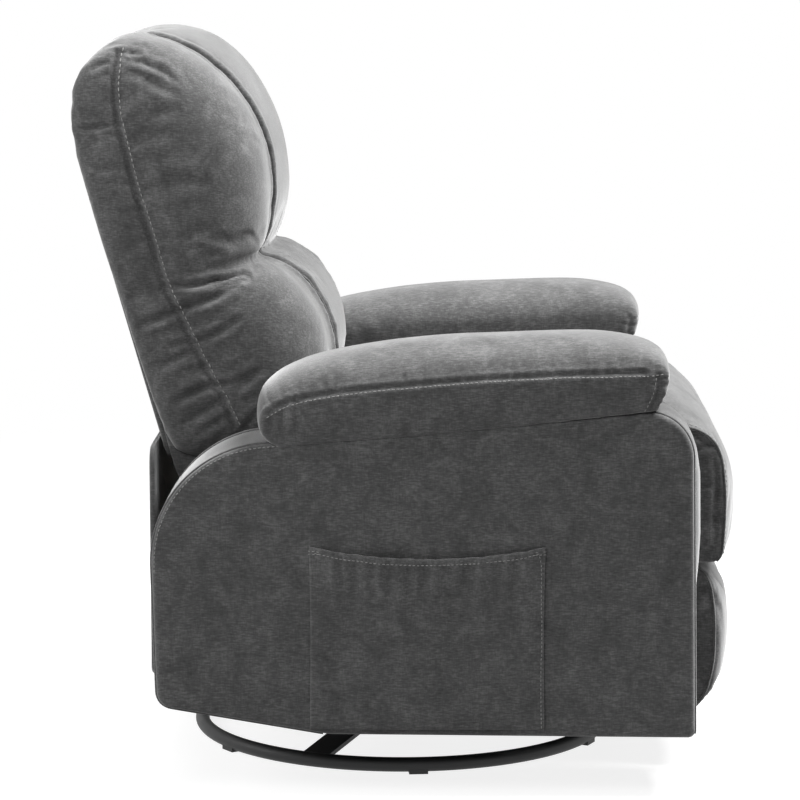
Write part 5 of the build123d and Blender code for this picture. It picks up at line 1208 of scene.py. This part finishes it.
def stitches(tree, given, curve):
    """One small rounded stitch after another, each turned a little at random."""
    tangent = add_node(tree, "GeometryNodeInputTangent")
    wobble = add_node(tree, "FunctionNodeRandomValue", {"Min": (-WOBBLE,) * 3, "Max": (WOBBLE,) * 3,
                                                        "Seed": given["Seed"]}, data_type="FLOAT_VECTOR")
    bent = add_node(tree, "ShaderNodeVectorMath", {0: tangent.outputs["Tangent"], 1: wobble.outputs["Value"]},
                    operation="ADD")
    aim = add_node(tree, "FunctionNodeAlignRotationToVector", {"Vector": bent.outputs["Vector"]}, axis="Z")
    stitch = add_node(tree, "GeometryNodeMeshUVSphere", {"Segments": 6, "Rings": 5, "Radius": 1.0})
    half = add_node(tree, "ShaderNodeMath", {0: given["Stitch Length"], 1: 0.5}, operation="MULTIPLY")
    size = add_node(tree, "ShaderNodeCombineXYZ", {"X": given["Thread Radius"], "Y": given["Thread Radius"],
                                                   "Z": half.outputs["Value"]})
    even = add_node(tree, "GeometryNodeResampleCurve", {"Curve": curve, "Length": given["Pitch"]},
                    mode="LENGTH")
    placed = add_node(tree, "GeometryNodeInstanceOnPoints", {
        "Points": even.outputs["Curve"], "Instance": stitch.outputs["Mesh"],
        "Rotation": aim.outputs["Rotation"], "Scale": size.outputs["Vector"]})
    return placed.outputs["Instances"]


def cord(tree, given, curve):
    """A round cord along the path."""
    even = add_node(tree, "GeometryNodeResampleCurve", {"Curve": curve, "Length": CORD_STEP * MM},
                    mode="LENGTH")
    section = add_node(tree, "GeometryNodeCurvePrimitiveCircle", {"Resolution": 8,
                                                                  "Radius": given["Cord Radius"]})
    tube = add_node(tree, "GeometryNodeCurveToMesh", {"Curve": even.outputs["Curve"], "Fill Caps": True,
                                                      "Profile Curve": section.outputs["Curve"]})
    return tube.outputs["Mesh"]


STITCHES = path_tree("top_stitching", {"Pitch": 7.5, "Stitch Length": 5.2, "Thread Radius": 0.8}, stitches,
                     seed=STITCH_SEED)
CORDS = path_tree("wrapped_cord", {"Cord Radius": 2.0}, cord)


def run_tree(name, tree, paths, wanted):
    """Runs a tree on some paths, with its inputs set by name, and turns the result to plain mesh."""
    points, edges = [], []
    for path in paths:
        base = len(points)
        points += to_frame(path).tolist()
        edges += [(base + k, base + k + 1) for k in range(len(path) - 1)]
    mesh = bpy.data.meshes.new(name)
    mesh.from_pydata(points, edges, [])
    piece = add_object(name, mesh)
    nodes = piece.modifiers.new(tree.name, "NODES")
    nodes.node_group = tree
    for item in tree.interface.items_tree:
        if item.in_out == "INPUT" and item.name in wanted:
            nodes[item.identifier] = wanted[item.name]
    bake(piece)
    return piece


def sew(name, paths, body, pitch, length, radius=0.8):
    """Stitches along paths that already lie on the skin, as one plain mesh on a body."""
    piece = run_tree(name, STITCHES, paths, {"Pitch": pitch * MM, "Stitch Length": length * MM,
                                             "Thread Radius": radius * MM, "Finish": thread})
    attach(piece, body)
    print(name, "stitch faces", len(piece.data.polygons))


def welt(name, paths, body, radius):
    """A welt along each path, as one plain mesh on a body."""
    piece = run_tree(name, CORDS, paths, {"Cord Radius": radius * MM, "Finish": suede})
    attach(piece, body)
    print(name, "faces", len(piece.data.polygons))


print("trees:", STITCHES.name, len(STITCHES.nodes), "nodes,", CORDS.name, len(CORDS.nodes), "nodes")

# %% [markdown]
# ## Rocker springs
#
# Four coils stand between the turning cradle and the rocking frame, their feet on
# the cradle and their heads at the frame. Each is one wound path, and the same
# tree wraps drawn wire round it.

# %% Rocker springs
COIL_RADIUS, COIL_WIRE, COIL_TURNS, END_RISE = 22, 5, 5, 6   # mm, with END_RISE for the close end turns
COIL_SIDE, COIL_PLACE = 100, 120   # mm from the middle, across and forward
coil_foot, coil_head = (corner[2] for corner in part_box("rocker_springs"))
first, last = coil_foot / MM + COIL_WIRE / 2, coil_head / MM - COIL_WIRE / 2
turns = np.linspace(0, COIL_TURNS, 32 * COIL_TURNS + 1)
climb = np.interp(turns, (0, 1, COIL_TURNS - 1, COIL_TURNS), (first, first + END_RISE, last - END_RISE, last))
across, forward = COIL_RADIUS * np.cos(math.tau * turns), -COIL_RADIUS * np.sin(math.tau * turns)
coil_paths = [np.column_stack([x + across, u + forward, climb])
              for x in (-COIL_SIDE, COIL_SIDE) for u in (-COIL_PLACE, COIL_PLACE)]
coils = run_tree("rocker_spring_coils", CORDS, coil_paths, {"Cord Radius": COIL_WIRE / 2 * MM,
                                                            "Finish": wire})
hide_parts("rocker_springs")
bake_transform(coils)
print("spring faces", len(coils.data.polygons))

# %% [markdown]
# ## Seams and welts
#
# Each line of stitches, and each welt on a cushion, is laid on the finished skin
# first, so thread and welt sit on the cloth where the stuffing has left it. The
# welts round the arm boxes follow the boxes' flat outline.

# %% Seams of the back
STITCH_GAP = 5   # mm before the flank's seam
welt("back_seam_welts", upright_paths, "back", radius=1.8)
stitch_line = np.array(FLANK_SEAM, float) + (STITCH_GAP, 0)
back_paths = [lay_on(back_cover, flank_path(side, stitch_line), 0.2) for side in (-1, 1)]
sew("back_flank_stitches", back_paths, "back", pitch=8.0, length=5.4, radius=0.85)

# %% Seams of the arms
STITCH_INSET, ARM_SKIN_X = 2.8, 413   # mm in from the edge of the arm's side, and beside its skin
ARM_WELTS_X, WELTS_ABOVE = (-402, -268, 268, 402), 84   # mm, with the foot of the box left plain
REAR_CURVE = (-150, 280)   # (u, z) of its middle
ring = arm_outline + inward_of(arm_outline) * STITCH_INSET
rear_curve = ring[(ring[:, 0] < REAR_CURVE[0]) & (ring[:, 1] > 300)]
bearing = np.arctan2(rear_curve[:, 1] - REAR_CURVE[1], rear_curve[:, 0] - REAR_CURVE[0])
rear_curve = rear_curve[np.argsort(-bearing % math.tau)]
arm_paths = [lay_on(skin, side_path(side * ARM_SKIN_X, rear_curve), 0.3) for side, skin in arm_sides.items()]
for piece, side in ((pad, -1), (left_pad, 1)):
    for line in (np.array(PAD_SEAM, float) - (0, 6), np.array(PAD_END[1:], float) - (6, 0)):
        arm_paths.append(lay_on(piece, side_path(side * (PAD_CENTRE + PAD_HALF), line), 0.2))
sew("arm_stitches", arm_paths, "chassis", pitch=6.0, length=4.2, radius=0.75)
edge_line = arm_outline[arm_outline[:, 1] > WELTS_ABOVE]
gap = np.argmax(np.linalg.norm(np.diff(edge_line, axis=0, append=edge_line[:1]), axis=1))
edge_line = np.roll(edge_line, -gap - 1, axis=0)
arm_welts = [np.column_stack([np.full(len(edge_line), float(x)), edge_line]) for x in ARM_WELTS_X]
welt("arm_welts", arm_welts, "chassis", radius=2.4)

# %% Seams of the pocket
POCKET_X, HEM_POINTS, HEM_DEPTH, TACK_HALF = -432.0, 60, 8, 4   # mm beside the pocket's skin, and mm
hem_u = np.linspace(POCKET_REAR + 6, POCKET_FRONT - 6, HEM_POINTS)
share = (hem_u - POCKET_REAR) / (POCKET_FRONT - POCKET_REAR)
hem_z = POCKET_TOP - POCKET_SAG * 4 * share * (1 - share) - HEM_DEPTH
pocket_paths = [lay_on(pocket, np.column_stack([np.full(HEM_POINTS, POCKET_X), hem_u, hem_z]), 0.3)]
for u_edge in (POCKET_REAR + 4, POCKET_FRONT - 4):
    for z_tack in (POCKET_TOP - 6, POCKET_TOP - 10):
        tack = np.array([(POCKET_X, u_edge + end, z_tack) for end in (-TACK_HALF, TACK_HALF)])
        pocket_paths.append(lay_on(pocket, spread(tack, count=4), 0.4))
down = np.array([(POCKET_X, POCKET_FRONT - 4, z_end) for z_end in (POCKET_TOP - 14, POCKET_FOOT + 4)])
pocket_paths.append(lay_on(pocket, spread(down, step=4), -0.1))
sew("pocket_stitches", pocket_paths, "chassis", pitch=5.6, length=3.8, radius=0.6)

# %% Seams of the seat and footrest
SEAT_STITCH_X, SEAT_STITCHES = 246, [(300, 489), (343, 490), (381, 477), (409, 467), (431, 452), (442, 426),
                                     (446, 390), (443, 300)]
SEAT_WELT = [(250, 487), (343, 490), (381, 477), (409, 469), (431, 452), (442, 426), (446, 390), (443, 300),
             (434, 288)]
FOOT_WELT = [(405, 280), (414, 276), (426, 255), (431, 220), (432, 164), (424, 112), (412, 90)]
seat_paths = [lay_on(seat, side_path(side * SEAT_STITCH_X, SEAT_STITCHES), 0.3) for side in (-1, 1)]
sew("seat_stitches", seat_paths, "seat", pitch=7.0, length=4.8)
seat_welts = [lay_on(seat, side_path(side * SEAT_HALF, SEAT_WELT), 0.6) for side in (-1, 1)]
foot_welts = [lay_on(footpad, side_path(side * FOOT_HALF, FOOT_WELT), 0.6) for side in (-1, 1)]
welt("seat_welts", seat_welts, "seat", radius=2.0)
welt("footrest_welts", foot_welts, "footrest", radius=1.8)
